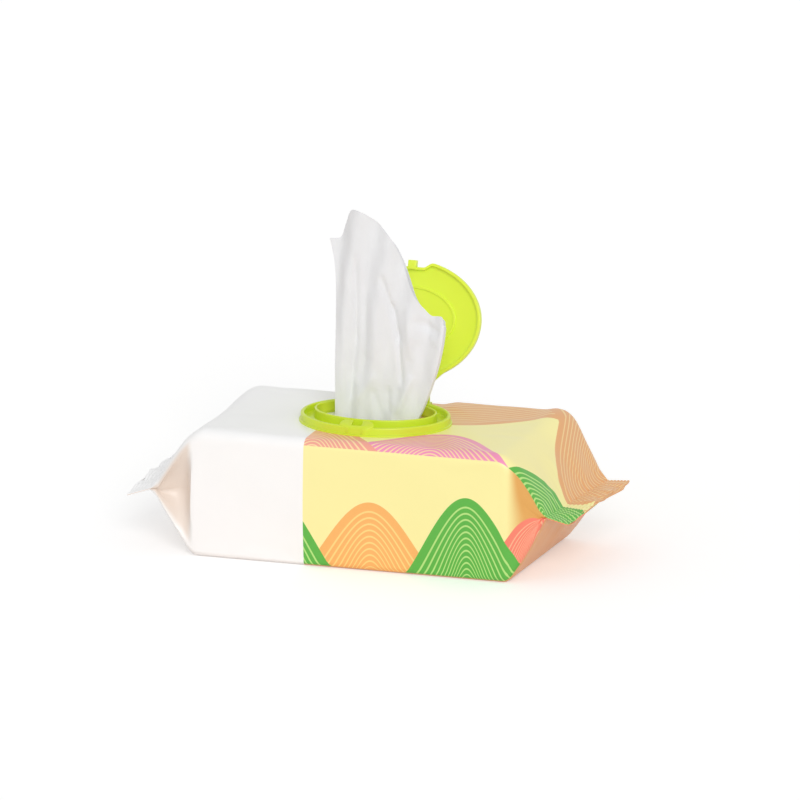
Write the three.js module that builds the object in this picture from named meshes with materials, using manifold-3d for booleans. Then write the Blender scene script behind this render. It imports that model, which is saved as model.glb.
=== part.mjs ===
// A soft pack of wet wipes: a film pouch with gusseted ends, an oval flip-top lid on its frame,
// the folded stack inside, and one wipe pulled up through the opening.
// Millimetres, +Z up. The origin is the centre of the underside, +X runs along the pack's length,
// and the front, where the lid's latch is, faces -Y.
import * as THREE from "three";
import { mergeVertices } from "three/addons/utils/BufferGeometryUtils.js";
import Module from "manifold-3d";

// Pouch body
const BODY_LENGTH = 204;
const BODY_DEPTH = 116;
const BODY_HEIGHT = 80;
const FILM = 0.7;
const TOP_RADIUS = 7;
const BOTTOM_RADIUS = 4;
const FACE_BULGE = 1.2;
const TOP_END_SOFTNESS = 8;
const BOTTOM_END_SOFTNESS = 3;

// Pouch ends: how far the seal's root stands out from the body's end, how far its corners come in
// from the front and back faces, and how deep each gusset is tucked in
const RIGHT_REACH_FRONT = 20;
const RIGHT_REACH_BACK = 27;
const RIGHT_INSET_FRONT = 14.5;
const RIGHT_INSET_BACK = 3;
const RIGHT_TUCK_FRONT = 1;
const RIGHT_TUCK_BACK = 9;
const LEFT_REACH_FRONT = 28;
const LEFT_REACH_BACK = 27;
const LEFT_INSET_FRONT = 3;
const LEFT_INSET_BACK = 4;
const LEFT_TUCK_FRONT = 12;
const LEFT_TUCK_BACK = 10;

// A tucked gusset's slanted wall, in film thicknesses, beyond the film measured straight across
const TUCK_WALLS = 1.5;

// End seals
const SEAL_HEIGHT = 39.5;
const SEAL_DEPTH = 14.5;
const SEAL_THICKNESS = 1;
const SEAL_DROOP = 4.5;
const SEAL_RIPPLE = 0.9;
const SEAL_RIPPLE_PITCH = 26;

// Underside seam: the free edge of its flap, pressed flush with the underside
const SEAM_OFFSET = 9;
const SEAM_GROOVE_WIDTH = 1.4;
const SEAM_GROOVE_DEPTH = 0.35;

// Die-cut hole in the top film, centred under the lid's frame
const OPENING_X = -2;
const OPENING_Y = -2;
const HOLE_HALF_LENGTH = 29.5;
const HOLE_HALF_DEPTH = 14;

// Folded stack of wipes
const STACK_END_CLEARANCE = 1;
const STACK_SIDE_CLEARANCE = 6;
const HEADSPACE = 5;
const STACK_CORNER_RADIUS = 5;

// Lid frame
const FRAME_HALF_LENGTH = 46.8;
const FRAME_HALF_DEPTH = 38.3;
const FLANGE_PROUD = 1;
const FLANGE_THICKNESS = 1;
const RIM_HEIGHT = 5.5;
const RIM_WIDTH = 2.4;
const RIM_ROUNDING = 0.8;
const CHANNEL_FLOOR = 1.4;
const COLLAR_HALF_LENGTH = 37;
const COLLAR_HALF_DEPTH = 24.5;
const COLLAR_WALL = 1.6;
const COLLAR_HEIGHT = 7.5;
const COLLAR_ROUNDING = 0.5;
const UNDERCUT_WIDTH = 1.2;
const UNDERCUT_HEIGHT = 1.5;

// Latch block on the frame's front rim
const LATCH_WIDTH = 22;
const LATCH_DEPTH = 6.5;
const LATCH_PROUD = 0.5;
const LATCH_HEIGHT = 8.5;
const LATCH_SHOULDER = 4.5;
const LATCH_SLOT_FLOOR = 4;
const FINGER_RECESS_WIDTH = 8;
const FINGER_RECESS_HEIGHT = 4;
const FINGER_RECESS_DEPTH = 1.6;
const CATCH_HOLE_WIDTH = 1.8;
const CATCH_HOLE_OFFSET = 0.8;

// Hinge: the lid and its frame are one moulding, and a thin web joins them along this axis
const HINGE_REACH = 47.5;
const HINGE_WIDTH = 35;
const HINGE_GAP = 0.9;
const HEEL_THICKNESS = 2.4;
const HEEL_RISE = 2;
const LID_OPEN_DEGREES = 106;

// Lid
const LID_HEIGHT = 5;
const LID_WALL = 1.6;
const LID_PLATE = 1.4;
const LID_CROWN = 0.5;
const LID_EDGE_ROUNDING = 1.8;
const LID_INNER_FILLET = 2.6;
const NECK_THICKNESS = 1.8;
const NECK_SPREAD = 9.5;
const SEAL_RING_HALF_LENGTH = 29.7;
const SEAL_RING_HALF_DEPTH = 20;
const SEAL_RING_WALL = 1.4;
const SEAL_RING_DROP = 1.1;
const NOTCH_FLARE = 3;
const HOOK_WIDTH = 5.3;
const HOOK_REACH = 4.1;
const HOOK_DROP = 1;
const HOOK_RISE = 3.2;

// Clearances between the lid and its frame
const LID_GAP = 0.3;
const LATCH_CLEARANCE = 0.8;
const HOOK_CLEARANCE = 0.55;

// Pulled wipe: one sheet in three layers, gathered at the opening and fanned out above it
const WIPE_THICKNESS = 0.8;
const WIPE_HEIGHT = 133;
const WIPE_FLAP_REACH = 46;
const WIPE_GATHER_HALF_WIDTH = 26;
const WIPE_LAYER_PITCH = 4;
const WIPE_WAVE = 1.5;
const WIPE_WAVE_PITCH = 21;
const WIPE_FOLD_SHARE = 0.2;
const WIPE_LAST_SHARE = 0.92;
const WIPE_LAYER_DROP = 2.5;
const WIPE_LEAN = 6;

// Facets
const OVAL_STEPS = 56;
const CORNER_STEPS = 3;
const SIDE_STEPS = 7;
const TOP_STEPS = 14;
const BOTTOM_STEPS = 8;
const WIPE_ROWS = 15;
const FRONT_LAYER_STEPS = 20;
const BACK_LAYER_STEPS = 9;
const TURN_STEPS = 3;

// Values that follow from the ones above
const STACK_TOP = BODY_HEIGHT - FILM - HEADSPACE;
const HINGE_Y = OPENING_Y + HINGE_REACH;
const HINGE_Z = BODY_HEIGHT + RIM_HEIGHT;
const HOOK_ROOT = FRAME_HALF_DEPTH + LATCH_PROUD - LATCH_DEPTH - LATCH_CLEARANCE;

const wasm = await Module();
wasm.setup();

// Helpers

function mix(from, to, share) {
  return from + (to - from) * share;
}

function clamp01(value) {
  return Math.min(Math.max(value, 0), 1);
}

// A solid from vertices and index triples, turned to face out if it was wound inwards.
function solidFrom(vertices, triangles) {
  let volume = 0;
  for (const [a, b, c] of triangles) {
    const pa = new THREE.Vector3(...vertices[a]);
    const pb = new THREE.Vector3(...vertices[b]);
    const pc = new THREE.Vector3(...vertices[c]);
    volume += pa.dot(pb.cross(pc));
  }
  const wound = volume < 0 ? triangles.map(([a, b, c]) => [a, c, b]) : triangles;
  return new wasm.Manifold(
    new wasm.Mesh({
      numProp: 3,
      vertProperties: new Float32Array(vertices.flat()),
      triVerts: new Uint32Array(wound.flat()),
    }),
  );
}

function solidOf(geometry) {
  const plain = geometry.clone();
  plain.deleteAttribute("normal");
  plain.deleteAttribute("uv");
  const merged = mergeVertices(plain, 1e-4);
  return new wasm.Manifold(
    new wasm.Mesh({
      numProp: 3,
      vertProperties: merged.attributes.position.array,
      triVerts: new Uint32Array(merged.index.array),
    }),
  );
}

function namedMesh(name, solid, material) {
  const data = solid.getMesh();
  const geometry = new THREE.BufferGeometry();
  const positions = new THREE.BufferAttribute(data.vertProperties, data.numProp);
  geometry.setAttribute("position", positions);
  geometry.setIndex(new THREE.BufferAttribute(data.triVerts, 1));
  geometry.computeVertexNormals();
  const mesh = new THREE.Mesh(geometry, material);
  mesh.name = name;
  return mesh;
}

// A closed skin over rings that hold the same number of points, with a fan over each end ring.
function loft(rings) {
  const count = rings[0].length;
  const vertices = rings.flat();
  const triangles = [];
  for (let i = 0; i + 1 < rings.length; i++) {
    for (let j = 0; j < count; j++) {
      const a = i * count + j;
      const b = i * count + ((j + 1) % count);
      triangles.push([a, b, b + count]);
      triangles.push([a, b + count, a + count]);
    }
  }
  addFan(vertices, triangles, 0, count, true);
  addFan(vertices, triangles, (rings.length - 1) * count, count, false);
  return solidFrom(vertices, triangles);
}

function addFan(vertices, triangles, start, count, first) {
  const centre = [0, 0, 0];
  for (let j = 0; j < count; j++) {
    for (let axis = 0; axis < 3; axis++) {
      centre[axis] += vertices[start + j][axis] / count;
    }
  }
  const hub = vertices.push(centre) - 1;
  for (let j = 0; j < count; j++) {
    const a = start + j;
    const b = start + ((j + 1) % count);
    triangles.push(first ? [b, a, hub] : [a, b, hub]);
  }
}

function oval(halfLength, halfDepth, z) {
  return Array.from({ length: OVAL_STEPS }, (_, k) => {
    const angle = (2 * Math.PI * k) / OVAL_STEPS;
    return [halfLength * Math.cos(angle), halfDepth * Math.sin(angle), z];
  });
}

// A ring whose section is the given closed profile: each profile point is a pair of half axes
// and a height, so the profile may change its width on the way round.
function ovalRing(profile) {
  const count = profile.length;
  const rings = profile.map(([halfLength, halfDepth, z]) => oval(halfLength, halfDepth, z));
  const triangles = [];
  for (let i = 0; i < count; i++) {
    for (let k = 0; k < OVAL_STEPS; k++) {
      const next = (k + 1) % OVAL_STEPS;
      const a = i * OVAL_STEPS + k;
      const b = i * OVAL_STEPS + next;
      const c = ((i + 1) % count) * OVAL_STEPS + k;
      const d = ((i + 1) % count) * OVAL_STEPS + next;
      triangles.push([a, b, d]);
      triangles.push([a, d, c]);
    }
  }
  return solidFrom(rings.flat(), triangles);
}

// A plan outline in XY, extruded from one height to another.
function prism(outline, lowZ, highZ) {
  const shape = new THREE.Shape(outline.map(([x, y]) => new THREE.Vector2(x, y)));
  const depth = highZ - lowZ;
  const geometry = new THREE.ExtrudeGeometry(shape, { depth, bevelEnabled: false });
  geometry.translate(0, 0, lowZ);
  return solidOf(geometry);
}

function box(lowX, highX, lowY, highY, lowZ, highZ) {
  const geometry = new THREE.BoxGeometry(highX - lowX, highY - lowY, highZ - lowZ);
  geometry.translate((lowX + highX) / 2, (lowY + highY) / 2, (lowZ + highZ) / 2);
  return solidOf(geometry);
}

// Pouch

const RIGHT_END = {
  side: 1,
  reach: [RIGHT_REACH_FRONT, RIGHT_REACH_BACK],
  inset: [RIGHT_INSET_FRONT, RIGHT_INSET_BACK],
  tuck: [RIGHT_TUCK_FRONT, RIGHT_TUCK_BACK],
};
const LEFT_END = {
  side: -1,
  reach: [LEFT_REACH_FRONT, LEFT_REACH_BACK],
  inset: [LEFT_INSET_FRONT, LEFT_INSET_BACK],
  tuck: [LEFT_TUCK_FRONT, LEFT_TUCK_BACK],
};

function meanReach(end) {
  return (end.reach[0] + end.reach[1]) / 2;
}

// The share of a slope's fall at a stage, where 0 is the body's end and 1 the seal's root.
// The bend between the flat panel and the slope is a parabola of the given half length.
function softFall(stage, softness) {
  if (stage <= -softness) return 0;
  if (stage < softness) return (stage + softness) ** 2 / (4 * softness);
  return Math.min(stage, 1);
}

// How far a gusset is pushed in: a V between the top and bottom edges, deepest near the body.
function tuckDepth(depth, slope, heightShare) {
  const alongEnd = Math.sin(Math.PI * slope ** 0.7);
  const overHeight = 1 - Math.abs(2 * heightShare - 1) ** 1.4;
  return depth * alongEnd * overHeight;
}

// The seal's lift at its free edge: long ripples, and a droop at the front corner.
function sealLift(end, y) {
  const fromFront = (y + BODY_DEPTH / 2) / BODY_DEPTH;
  const ripple = SEAL_RIPPLE * Math.sin((2 * Math.PI * y) / SEAL_RIPPLE_PITCH + end.side);
  const droop = SEAL_DROOP * Math.max(1 - 2.6 * fromFront, 0);
  return ripple - droop;
}

// One ring round the pouch at a stage of an end. Stages below 0 lie in the body, 0 to 1 on the
// slopes and 1 to 2 on the seal. The wall is 0 for the outside and the film for the inside.
function pouchRing(end, stage, wall) {
  const slope = clamp01(stage);
  const seal = Math.max(stage - 1, 0);
  const reach = meanReach(end);
  const steepness = mix(1, Math.hypot(reach, SEAL_HEIGHT) / reach, Math.min(4 * slope, 1));
  const wallZ = wall * steepness;
  const halfSeal = SEAL_THICKNESS / 2;
  const topFall = softFall(stage, TOP_END_SOFTNESS / reach) * (BODY_HEIGHT - SEAL_HEIGHT - halfSeal);
  const bottomRise = softFall(stage, BOTTOM_END_SOFTNESS / reach) * (SEAL_HEIGHT - halfSeal);
  const topZ = BODY_HEIGHT - topFall - wallZ;
  const bottomZ = bottomRise + wallZ;
  const frontY = -BODY_DEPTH / 2 + slope * end.inset[0] + wall;
  const backY = BODY_DEPTH / 2 - slope * end.inset[1] - wall;
  const height = topZ - bottomZ;
  const topRadius = Math.min(TOP_RADIUS - wall, 0.4 * height);
  const bottomRadius = Math.min(BOTTOM_RADIUS - wall, 0.4 * height);

  const section = [];
  const addCorner = (centreY, centreZ, radius, fromDegrees) => {
    for (let k = 0; k <= CORNER_STEPS; k++) {
      const angle = THREE.MathUtils.degToRad(fromDegrees + (90 * k) / CORNER_STEPS);
      section.push([centreY + radius * Math.cos(angle), centreZ + radius * Math.sin(angle)]);
    }
  };
  const addSide = (faceY, outward, tuck, upwards) => {
    for (let k = 1; k < SIDE_STEPS; k++) {
      const share = upwards ? k / SIDE_STEPS : 1 - k / SIDE_STEPS;
      const z = mix(bottomZ + bottomRadius, topZ - topRadius, share);
      const bulge = FACE_BULGE * 4 * share * (1 - share) * (1 - slope);
      const inwards = tuckDepth(tuck + TUCK_WALLS * wall, slope, share);
      section.push([faceY + outward * (bulge - inwards), z]);
    }
  };
  addCorner(frontY + bottomRadius, bottomZ + bottomRadius, bottomRadius, 180);
  for (let k = 1; k < BOTTOM_STEPS; k++) {
    const y = mix(frontY + bottomRadius, backY - bottomRadius, k / BOTTOM_STEPS);
    section.push([y, bottomZ]);
  }
  addCorner(backY - bottomRadius, bottomZ + bottomRadius, bottomRadius, 270);
  addSide(backY, 1, end.tuck[1], true);
  addCorner(backY - topRadius, topZ - topRadius, topRadius, 0);
  for (let k = 1; k < TOP_STEPS; k++) {
    section.push([mix(backY - topRadius, frontY + topRadius, k / TOP_STEPS), topZ]);
  }
  addCorner(frontY + topRadius, topZ - topRadius, topRadius, 90);
  addSide(frontY, -1, end.tuck[0], false);

  return section.map(([y, z]) => {
    const across = clamp01((y - frontY) / (backY - frontY));
    const localReach = stage > 0 ? mix(end.reach[0], end.reach[1], across) : reach;
    const beyond = Math.min(stage, 1) * localReach + seal * SEAL_DEPTH;
    return [end.side * (BODY_LENGTH / 2 + beyond), y, z + seal * sealLift(end, y)];
  });
}

// The stages of the body's half on this end's side, from the middle out to where its bend starts.
function bodyStages(end, spans) {
  const halfLength = BODY_LENGTH / 2;
  const bendStart = halfLength - TOP_END_SOFTNESS;
  return Array.from(
    { length: spans },
    (_, k) => ((bendStart * (k + 1)) / spans - halfLength) / meanReach(end),
  );
}

function pouchSkin(endStages, bodySpans, wall) {
  const halves = [LEFT_END, RIGHT_END].map((end) => {
    const underBend = -BOTTOM_END_SOFTNESS / meanReach(end);
    const stages = [...bodyStages(end, bodySpans), underBend, ...endStages];
    return stages.map((stage) => pouchRing(end, stage, wall));
  });
  return loft([...halves[0].reverse(), ...halves[1]]);
}

function makePouch() {
  const outside = pouchSkin([0, 0.15, 0.3, 0.5, 0.7, 0.85, 1, 1.35, 1.7, 2], 4, 0);
  const inside = pouchSkin([0, 0.15, 0.3, 0.55], 1, FILM);
  const hole = prism(
    oval(HOLE_HALF_LENGTH, HOLE_HALF_DEPTH, 0).map(([x, y]) => [x + OPENING_X, y + OPENING_Y]),
    BODY_HEIGHT - HEADSPACE,
    BODY_HEIGHT + FILM,
  );
  const grooveEnd = BODY_LENGTH / 2 - TOP_END_SOFTNESS;
  const groove = box(
    -grooveEnd,
    grooveEnd,
    SEAM_OFFSET,
    SEAM_OFFSET + SEAM_GROOVE_WIDTH,
    -FILM,
    SEAM_GROOVE_DEPTH,
  );
  return outside.subtract(inside).subtract(hole).subtract(groove);
}

// Stack of folded wipes

function makeStack() {
  const halfLength = BODY_LENGTH / 2 - BOTTOM_END_SOFTNESS - STACK_END_CLEARANCE;
  const halfDepth = BODY_DEPTH / 2 - STACK_SIDE_CLEARANCE;
  const straightX = halfLength - STACK_CORNER_RADIUS;
  const straightY = halfDepth - STACK_CORNER_RADIUS;
  const outline = new THREE.Shape();
  outline.absarc(straightX, straightY, STACK_CORNER_RADIUS, 0, Math.PI / 2);
  outline.absarc(-straightX, straightY, STACK_CORNER_RADIUS, Math.PI / 2, Math.PI);
  outline.absarc(-straightX, -straightY, STACK_CORNER_RADIUS, Math.PI, 1.5 * Math.PI);
  outline.absarc(straightX, -straightY, STACK_CORNER_RADIUS, 1.5 * Math.PI, 2 * Math.PI);
  const points = outline.getPoints(CORNER_STEPS).map((point) => [point.x, point.y]);
  return prism(points, FILM, STACK_TOP);
}

// Lid frame, in a frame of its own: the opening's centre on the film is its origin

function makeFrame() {
  const outer = (offset, z) => [FRAME_HALF_LENGTH + offset, FRAME_HALF_DEPTH + offset, z];
  const collar = (offset, z) => [COLLAR_HALF_LENGTH + offset, COLLAR_HALF_DEPTH + offset, z];
  const ring = ovalRing([
    outer(FLANGE_PROUD, 0),
    outer(FLANGE_PROUD, FLANGE_THICKNESS),
    outer(0, FLANGE_THICKNESS),
    outer(0, RIM_HEIGHT - RIM_ROUNDING),
    outer(-0.3 * RIM_ROUNDING, RIM_HEIGHT - 0.3 * RIM_ROUNDING),
    outer(-RIM_ROUNDING, RIM_HEIGHT),
    outer(RIM_ROUNDING - RIM_WIDTH, RIM_HEIGHT),
    outer(0.3 * RIM_ROUNDING - RIM_WIDTH, RIM_HEIGHT - 0.3 * RIM_ROUNDING),
    outer(-RIM_WIDTH, RIM_HEIGHT - RIM_ROUNDING),
    outer(-RIM_WIDTH, CHANNEL_FLOOR),
    collar(COLLAR_WALL, CHANNEL_FLOOR),
    collar(COLLAR_WALL, COLLAR_HEIGHT - COLLAR_ROUNDING),
    collar(COLLAR_WALL - COLLAR_ROUNDING, COLLAR_HEIGHT),
    collar(COLLAR_ROUNDING, COLLAR_HEIGHT),
    collar(0, COLLAR_HEIGHT - COLLAR_ROUNDING),
    collar(0, UNDERCUT_HEIGHT),
    collar(UNDERCUT_WIDTH, UNDERCUT_HEIGHT - FLANGE_THICKNESS / 2),
    collar(UNDERCUT_WIDTH, 0),
  ]);
  return ring.add(makeLatchBlock()).add(makeHingeBase());
}

// The block that the lid's hook drops into. One shoulder is slanted, and a finger recess with a
// small catch hole is cut into its front.
function makeLatchBlock() {
  const frontY = -FRAME_HALF_DEPTH - LATCH_PROUD;
  const backY = frontY + LATCH_DEPTH;
  const half = LATCH_WIDTH / 2;
  const face = new THREE.Shape([
    new THREE.Vector2(-half, 0),
    new THREE.Vector2(half, 0),
    new THREE.Vector2(half, LATCH_HEIGHT - RIM_ROUNDING),
    new THREE.Vector2(half - RIM_ROUNDING, LATCH_HEIGHT),
    new THREE.Vector2(LATCH_SHOULDER - half, LATCH_HEIGHT),
    new THREE.Vector2(-half, RIM_HEIGHT - RIM_ROUNDING),
  ]);
  const geometry = new THREE.ExtrudeGeometry(face, { depth: LATCH_DEPTH, bevelEnabled: false });
  geometry.rotateX(Math.PI / 2);
  geometry.translate(0, backY, 0);
  const slotHalf = HOOK_WIDTH / 2 + HOOK_CLEARANCE;
  const slotFront = -HOOK_ROOT - HOOK_REACH - LATCH_CLEARANCE;
  const slot = box(-slotHalf, slotHalf, slotFront, backY + 1, LATCH_SLOT_FLOOR, LATCH_HEIGHT + 1);
  const recessHalf = FINGER_RECESS_WIDTH / 2;
  const recessBack = frontY + FINGER_RECESS_DEPTH;
  const recessTop = FLANGE_THICKNESS + FINGER_RECESS_HEIGHT;
  const recess = box(-recessHalf, recessHalf, frontY - 1, recessBack, FLANGE_THICKNESS, recessTop);
  const hole = box(
    CATCH_HOLE_OFFSET - CATCH_HOLE_WIDTH / 2,
    CATCH_HOLE_OFFSET + CATCH_HOLE_WIDTH / 2,
    frontY,
    recessBack + FINGER_RECESS_DEPTH,
    FLANGE_THICKNESS + CATCH_HOLE_WIDTH / 2,
    FLANGE_THICKNESS + 2 * CATCH_HOLE_WIDTH,
  );
  return solidOf(geometry).subtract(slot).subtract(recess).subtract(hole);
}

// The tongue behind the ring: a flange, the block in front of the hinge's web, and the heel that
// the open lid leans on.
function makeHingeBase() {
  const half = HINGE_WIDTH / 2;
  const blockFront = FRAME_HALF_DEPTH - RIM_WIDTH;
  const heelFront = HINGE_REACH + Math.hypot(HINGE_GAP, NECK_THICKNESS + LID_GAP) + LID_GAP;
  const heelBack = heelFront + HEEL_THICKNESS;
  const flangeHalf = half + FLANGE_PROUD;
  const flangeBack = heelBack + FLANGE_PROUD;
  const flange = box(-flangeHalf, flangeHalf, blockFront, flangeBack, 0, FLANGE_THICKNESS);
  const blockBack = HINGE_REACH - HINGE_GAP;
  const block = box(-half, half, blockFront, blockBack, 0, RIM_HEIGHT - LID_GAP / 2);
  const lean = Math.tan(THREE.MathUtils.degToRad(LID_OPEN_DEGREES - 90)) * HEEL_RISE;
  const profile = new THREE.Shape([
    new THREE.Vector2(heelFront, 0),
    new THREE.Vector2(heelBack, 0),
    new THREE.Vector2(heelBack, RIM_HEIGHT),
    new THREE.Vector2(heelBack - lean, RIM_HEIGHT + HEEL_RISE),
    new THREE.Vector2(heelFront + lean, RIM_HEIGHT + HEEL_RISE),
    new THREE.Vector2(heelFront, RIM_HEIGHT),
  ]);
  const heel = new THREE.ExtrudeGeometry(profile, { depth: HINGE_WIDTH, bevelEnabled: false });
  heel.applyMatrix4(
    new THREE.Matrix4().makeBasis(
      new THREE.Vector3(0, 1, 0),
      new THREE.Vector3(0, 0, 1),
      new THREE.Vector3(1, 0, 0),
    ),
  );
  heel.translate(-half, 0, 0);
  return flange.add(block).add(solidOf(heel));
}

// Lid, as it lies when shut: its origin is over the opening's centre on top of the frame's rim

function makeLid() {
  const edge = (offset, z) => oval(FRAME_HALF_LENGTH + offset, FRAME_HALF_DEPTH + offset, z);
  const top = LID_GAP + LID_HEIGHT;
  const ceiling = top - LID_PLATE;
  const puck = loft([
    edge(-0.3, LID_GAP),
    edge(0, LID_GAP + 0.3),
    edge(0, top - LID_EDGE_ROUNDING),
    edge(-0.3 * LID_EDGE_ROUNDING, top - 0.3 * LID_EDGE_ROUNDING),
    edge(-LID_EDGE_ROUNDING, top),
    edge(-0.3 * FRAME_HALF_DEPTH, top + 0.7 * LID_CROWN),
    edge(-0.7 * FRAME_HALF_DEPTH, top + LID_CROWN),
  ]);
  const cavity = loft([
    edge(-LID_WALL, LID_GAP - 1),
    edge(-LID_WALL, ceiling - LID_INNER_FILLET),
    edge(-LID_WALL - 0.3 * LID_INNER_FILLET, ceiling - 0.3 * LID_INNER_FILLET),
    edge(-LID_WALL - LID_INNER_FILLET, ceiling),
  ]);
  const sealRing = ovalRing([
    [SEAL_RING_HALF_LENGTH, SEAL_RING_HALF_DEPTH, ceiling + LID_PLATE / 2],
    [SEAL_RING_HALF_LENGTH, SEAL_RING_HALF_DEPTH, ceiling - SEAL_RING_DROP],
    [
      SEAL_RING_HALF_LENGTH - SEAL_RING_WALL,
      SEAL_RING_HALF_DEPTH - SEAL_RING_WALL,
      ceiling - SEAL_RING_DROP,
    ],
    [
      SEAL_RING_HALF_LENGTH - SEAL_RING_WALL,
      SEAL_RING_HALF_DEPTH - SEAL_RING_WALL,
      ceiling + LID_PLATE / 2,
    ],
  ]);
  const shell = puck
    .subtract(notch(0, top))
    .subtract(cavity.subtract(notch(LID_WALL, top)));
  return shell.add(sealRing).add(makeHook()).add(makeNeck().subtract(cavity));
}

// The cut in the lid's front edge that clears the latch block, grown by a wall when asked.
function notch(grow, top) {
  const inner = LATCH_WIDTH / 2 + LATCH_CLEARANCE + grow;
  const root = -HOOK_ROOT + grow;
  const front = -FRAME_HALF_DEPTH - NOTCH_FLARE;
  const corner = NOTCH_FLARE / 2;
  const outline = [
    [-inner + corner, root],
    [-inner, root - corner],
    [-inner - NOTCH_FLARE, front],
    [inner + NOTCH_FLARE, front],
    [inner, root - corner],
    [inner - corner, root],
  ];
  return prism(outline, -HOOK_DROP - 1, top + 1);
}

function makeHook() {
  const half = HOOK_WIDTH / 2;
  return box(
    -half,
    half,
    -HOOK_ROOT - HOOK_REACH,
    -HOOK_ROOT + LID_WALL,
    -HOOK_DROP,
    HOOK_RISE,
  );
}

// The plate between the lid's back edge and the hinge, flared where it meets the oval.
function makeNeck() {
  const half = HINGE_WIDTH / 2;
  const hingeY = HINGE_REACH - HINGE_GAP;
  const flareY = FRAME_HALF_DEPTH + 0.4 * (HINGE_REACH - FRAME_HALF_DEPTH);
  const rootY = FRAME_HALF_DEPTH * Math.sqrt(1 - ((half + NECK_SPREAD) / FRAME_HALF_LENGTH) ** 2);
  const side = new THREE.QuadraticBezierCurve(
    new THREE.Vector2(half, flareY),
    new THREE.Vector2(half + 0.2 * NECK_SPREAD, mix(rootY, flareY, 0.6)),
    new THREE.Vector2(half + NECK_SPREAD, rootY),
  );
  const right = [[half, hingeY], ...side.getPoints(5).map((point) => [point.x, point.y])];
  const left = right.map(([x, y]) => [-x, y]).reverse();
  return prism([...left, ...right], LID_GAP, LID_GAP + NECK_THICKNESS);
}

// Pulled wipe

// The sheet's upper edge from its left corner to the flap at its right: a short shoulder, a notch
// up to the tip where it was pulled, the long slope down, and the flap's level edge. Offsets from
// the opening's centre are shares of the flap's reach, and heights above the film are shares of
// the tip's.
const WIPE_TOP_EDGE = new THREE.CatmullRomCurve3(
  [
    [-0.609, 0.861],
    [-0.5, 0.868],
    [-0.435, 0.966],
    [-0.337, 1],
    [-0.0435, 0.974],
    [0.13, 0.929],
    [0.315, 0.861],
    [0.457, 0.771],
    [0.609, 0.65],
    [0.783, 0.534],
    [0.957, 0.508],
    [1, 0.477],
  ].map(([x, z]) => new THREE.Vector3(x * WIPE_FLAP_REACH, 0, z * WIPE_HEIGHT)),
);

// A point's place on the sheet's fan: a fold line that starts at its share of the gather and ends
// at the same share of the upper edge. The left edge stays upright for most of its height, and
// the right edge spreads out at once.
function fanPoint(share, rise, drop) {
  const foot = mix(-WIPE_GATHER_HALF_WIDTH, WIPE_GATHER_HALF_WIDTH, share);
  const top = WIPE_TOP_EDGE.getPoint(share);
  const above = clamp01(rise);
  const upright = above ** 5;
  const spreading = 1 - (1 - above) ** 1.8;
  const spread = mix(upright, spreading, clamp01(2.5 * share));
  return [mix(foot, top.x, spread), rise > 0 ? rise * (top.z - drop) : 0];
}

// The sheet's section from the front layer's left edge, round a fold at the right, back, round a
// fold at the left and to the last layer's free edge. Each entry holds the share of the fan, the
// offset of the layer in units of the pitch and the fold's bulge.
function wipeSection() {
  const section = [];
  const addLayer = (from, to, layer, steps) => {
    for (let k = 0; k <= steps; k++) section.push([mix(from, to, k / steps), layer, 0]);
  };
  const addTurn = (share, layer, side) => {
    for (let k = 1; k <= TURN_STEPS; k++) {
      const angle = Math.PI * (k / (TURN_STEPS + 1) - 0.5);
      section.push([share, layer + 0.5 * Math.sin(angle), 0.5 * side * Math.cos(angle)]);
    }
  };
  addLayer(0, 1, -1, FRONT_LAYER_STEPS);
  addTurn(1, -0.5, 1);
  addLayer(1, WIPE_FOLD_SHARE, 0, BACK_LAYER_STEPS);
  addTurn(WIPE_FOLD_SHARE, 0.5, -1);
  addLayer(WIPE_FOLD_SHARE, WIPE_LAST_SHARE, 1, BACK_LAYER_STEPS);
  return section;
}

// Rows run from the stack's top through the hole and up to the sheet's upper edge.
function wipeRows() {
  const footRise = [0, 0.5];
  const aboveFilm = Array.from({ length: WIPE_ROWS }, (_, k) => k / (WIPE_ROWS - 1));
  return [
    ...footRise.map((share) => ({ rise: 0, z: mix(STACK_TOP, BODY_HEIGHT, share) })),
    ...aboveFilm.map((rise) => ({ rise, z: BODY_HEIGHT })),
  ];
}

function makeWipe() {
  const section = wipeSection();
  const rows = wipeRows();
  const centre = rows.map(({ rise, z }) =>
    section.map(([share, layer, bulge]) => {
      const [fanX, height] = fanPoint(share, rise, WIPE_LAYER_DROP * (layer + 1));
      const x = fanX + bulge * WIPE_LAYER_PITCH;
      const phase = (2 * Math.PI * (x - 0.12 * height)) / WIPE_WAVE_PITCH;
      const wave = WIPE_WAVE * Math.sin(phase) * (0.6 + 0.8 * rise);
      const lean = WIPE_LEAN * rise ** 2;
      const y = layer * WIPE_LAYER_PITCH + wave + lean;
      return [OPENING_X + x, OPENING_Y + y, z + height];
    }),
  );
  return thickSheet(centre, WIPE_THICKNESS);
}

// A sheet of even thickness over a grid of rows, thickened level with the ground.
function thickSheet(rows, thickness) {
  const columns = rows[0].length;
  const faces = [thickness / 2, -thickness / 2].map((offset) =>
    rows.map((row) =>
      row.map(([x, y, z], k) => {
        const before = row[Math.max(k - 1, 0)];
        const after = row[Math.min(k + 1, columns - 1)];
        const length = Math.hypot(after[0] - before[0], after[1] - before[1]);
        const normalX = -(after[1] - before[1]) / length;
        const normalY = (after[0] - before[0]) / length;
        return [x + offset * normalX, y + offset * normalY, z];
      }),
    ),
  );
  const rings = rows.map((_, r) => [...faces[0][r], ...faces[1][r].reverse()]);
  return skinWithSlotEnds(rings);
}

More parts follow.
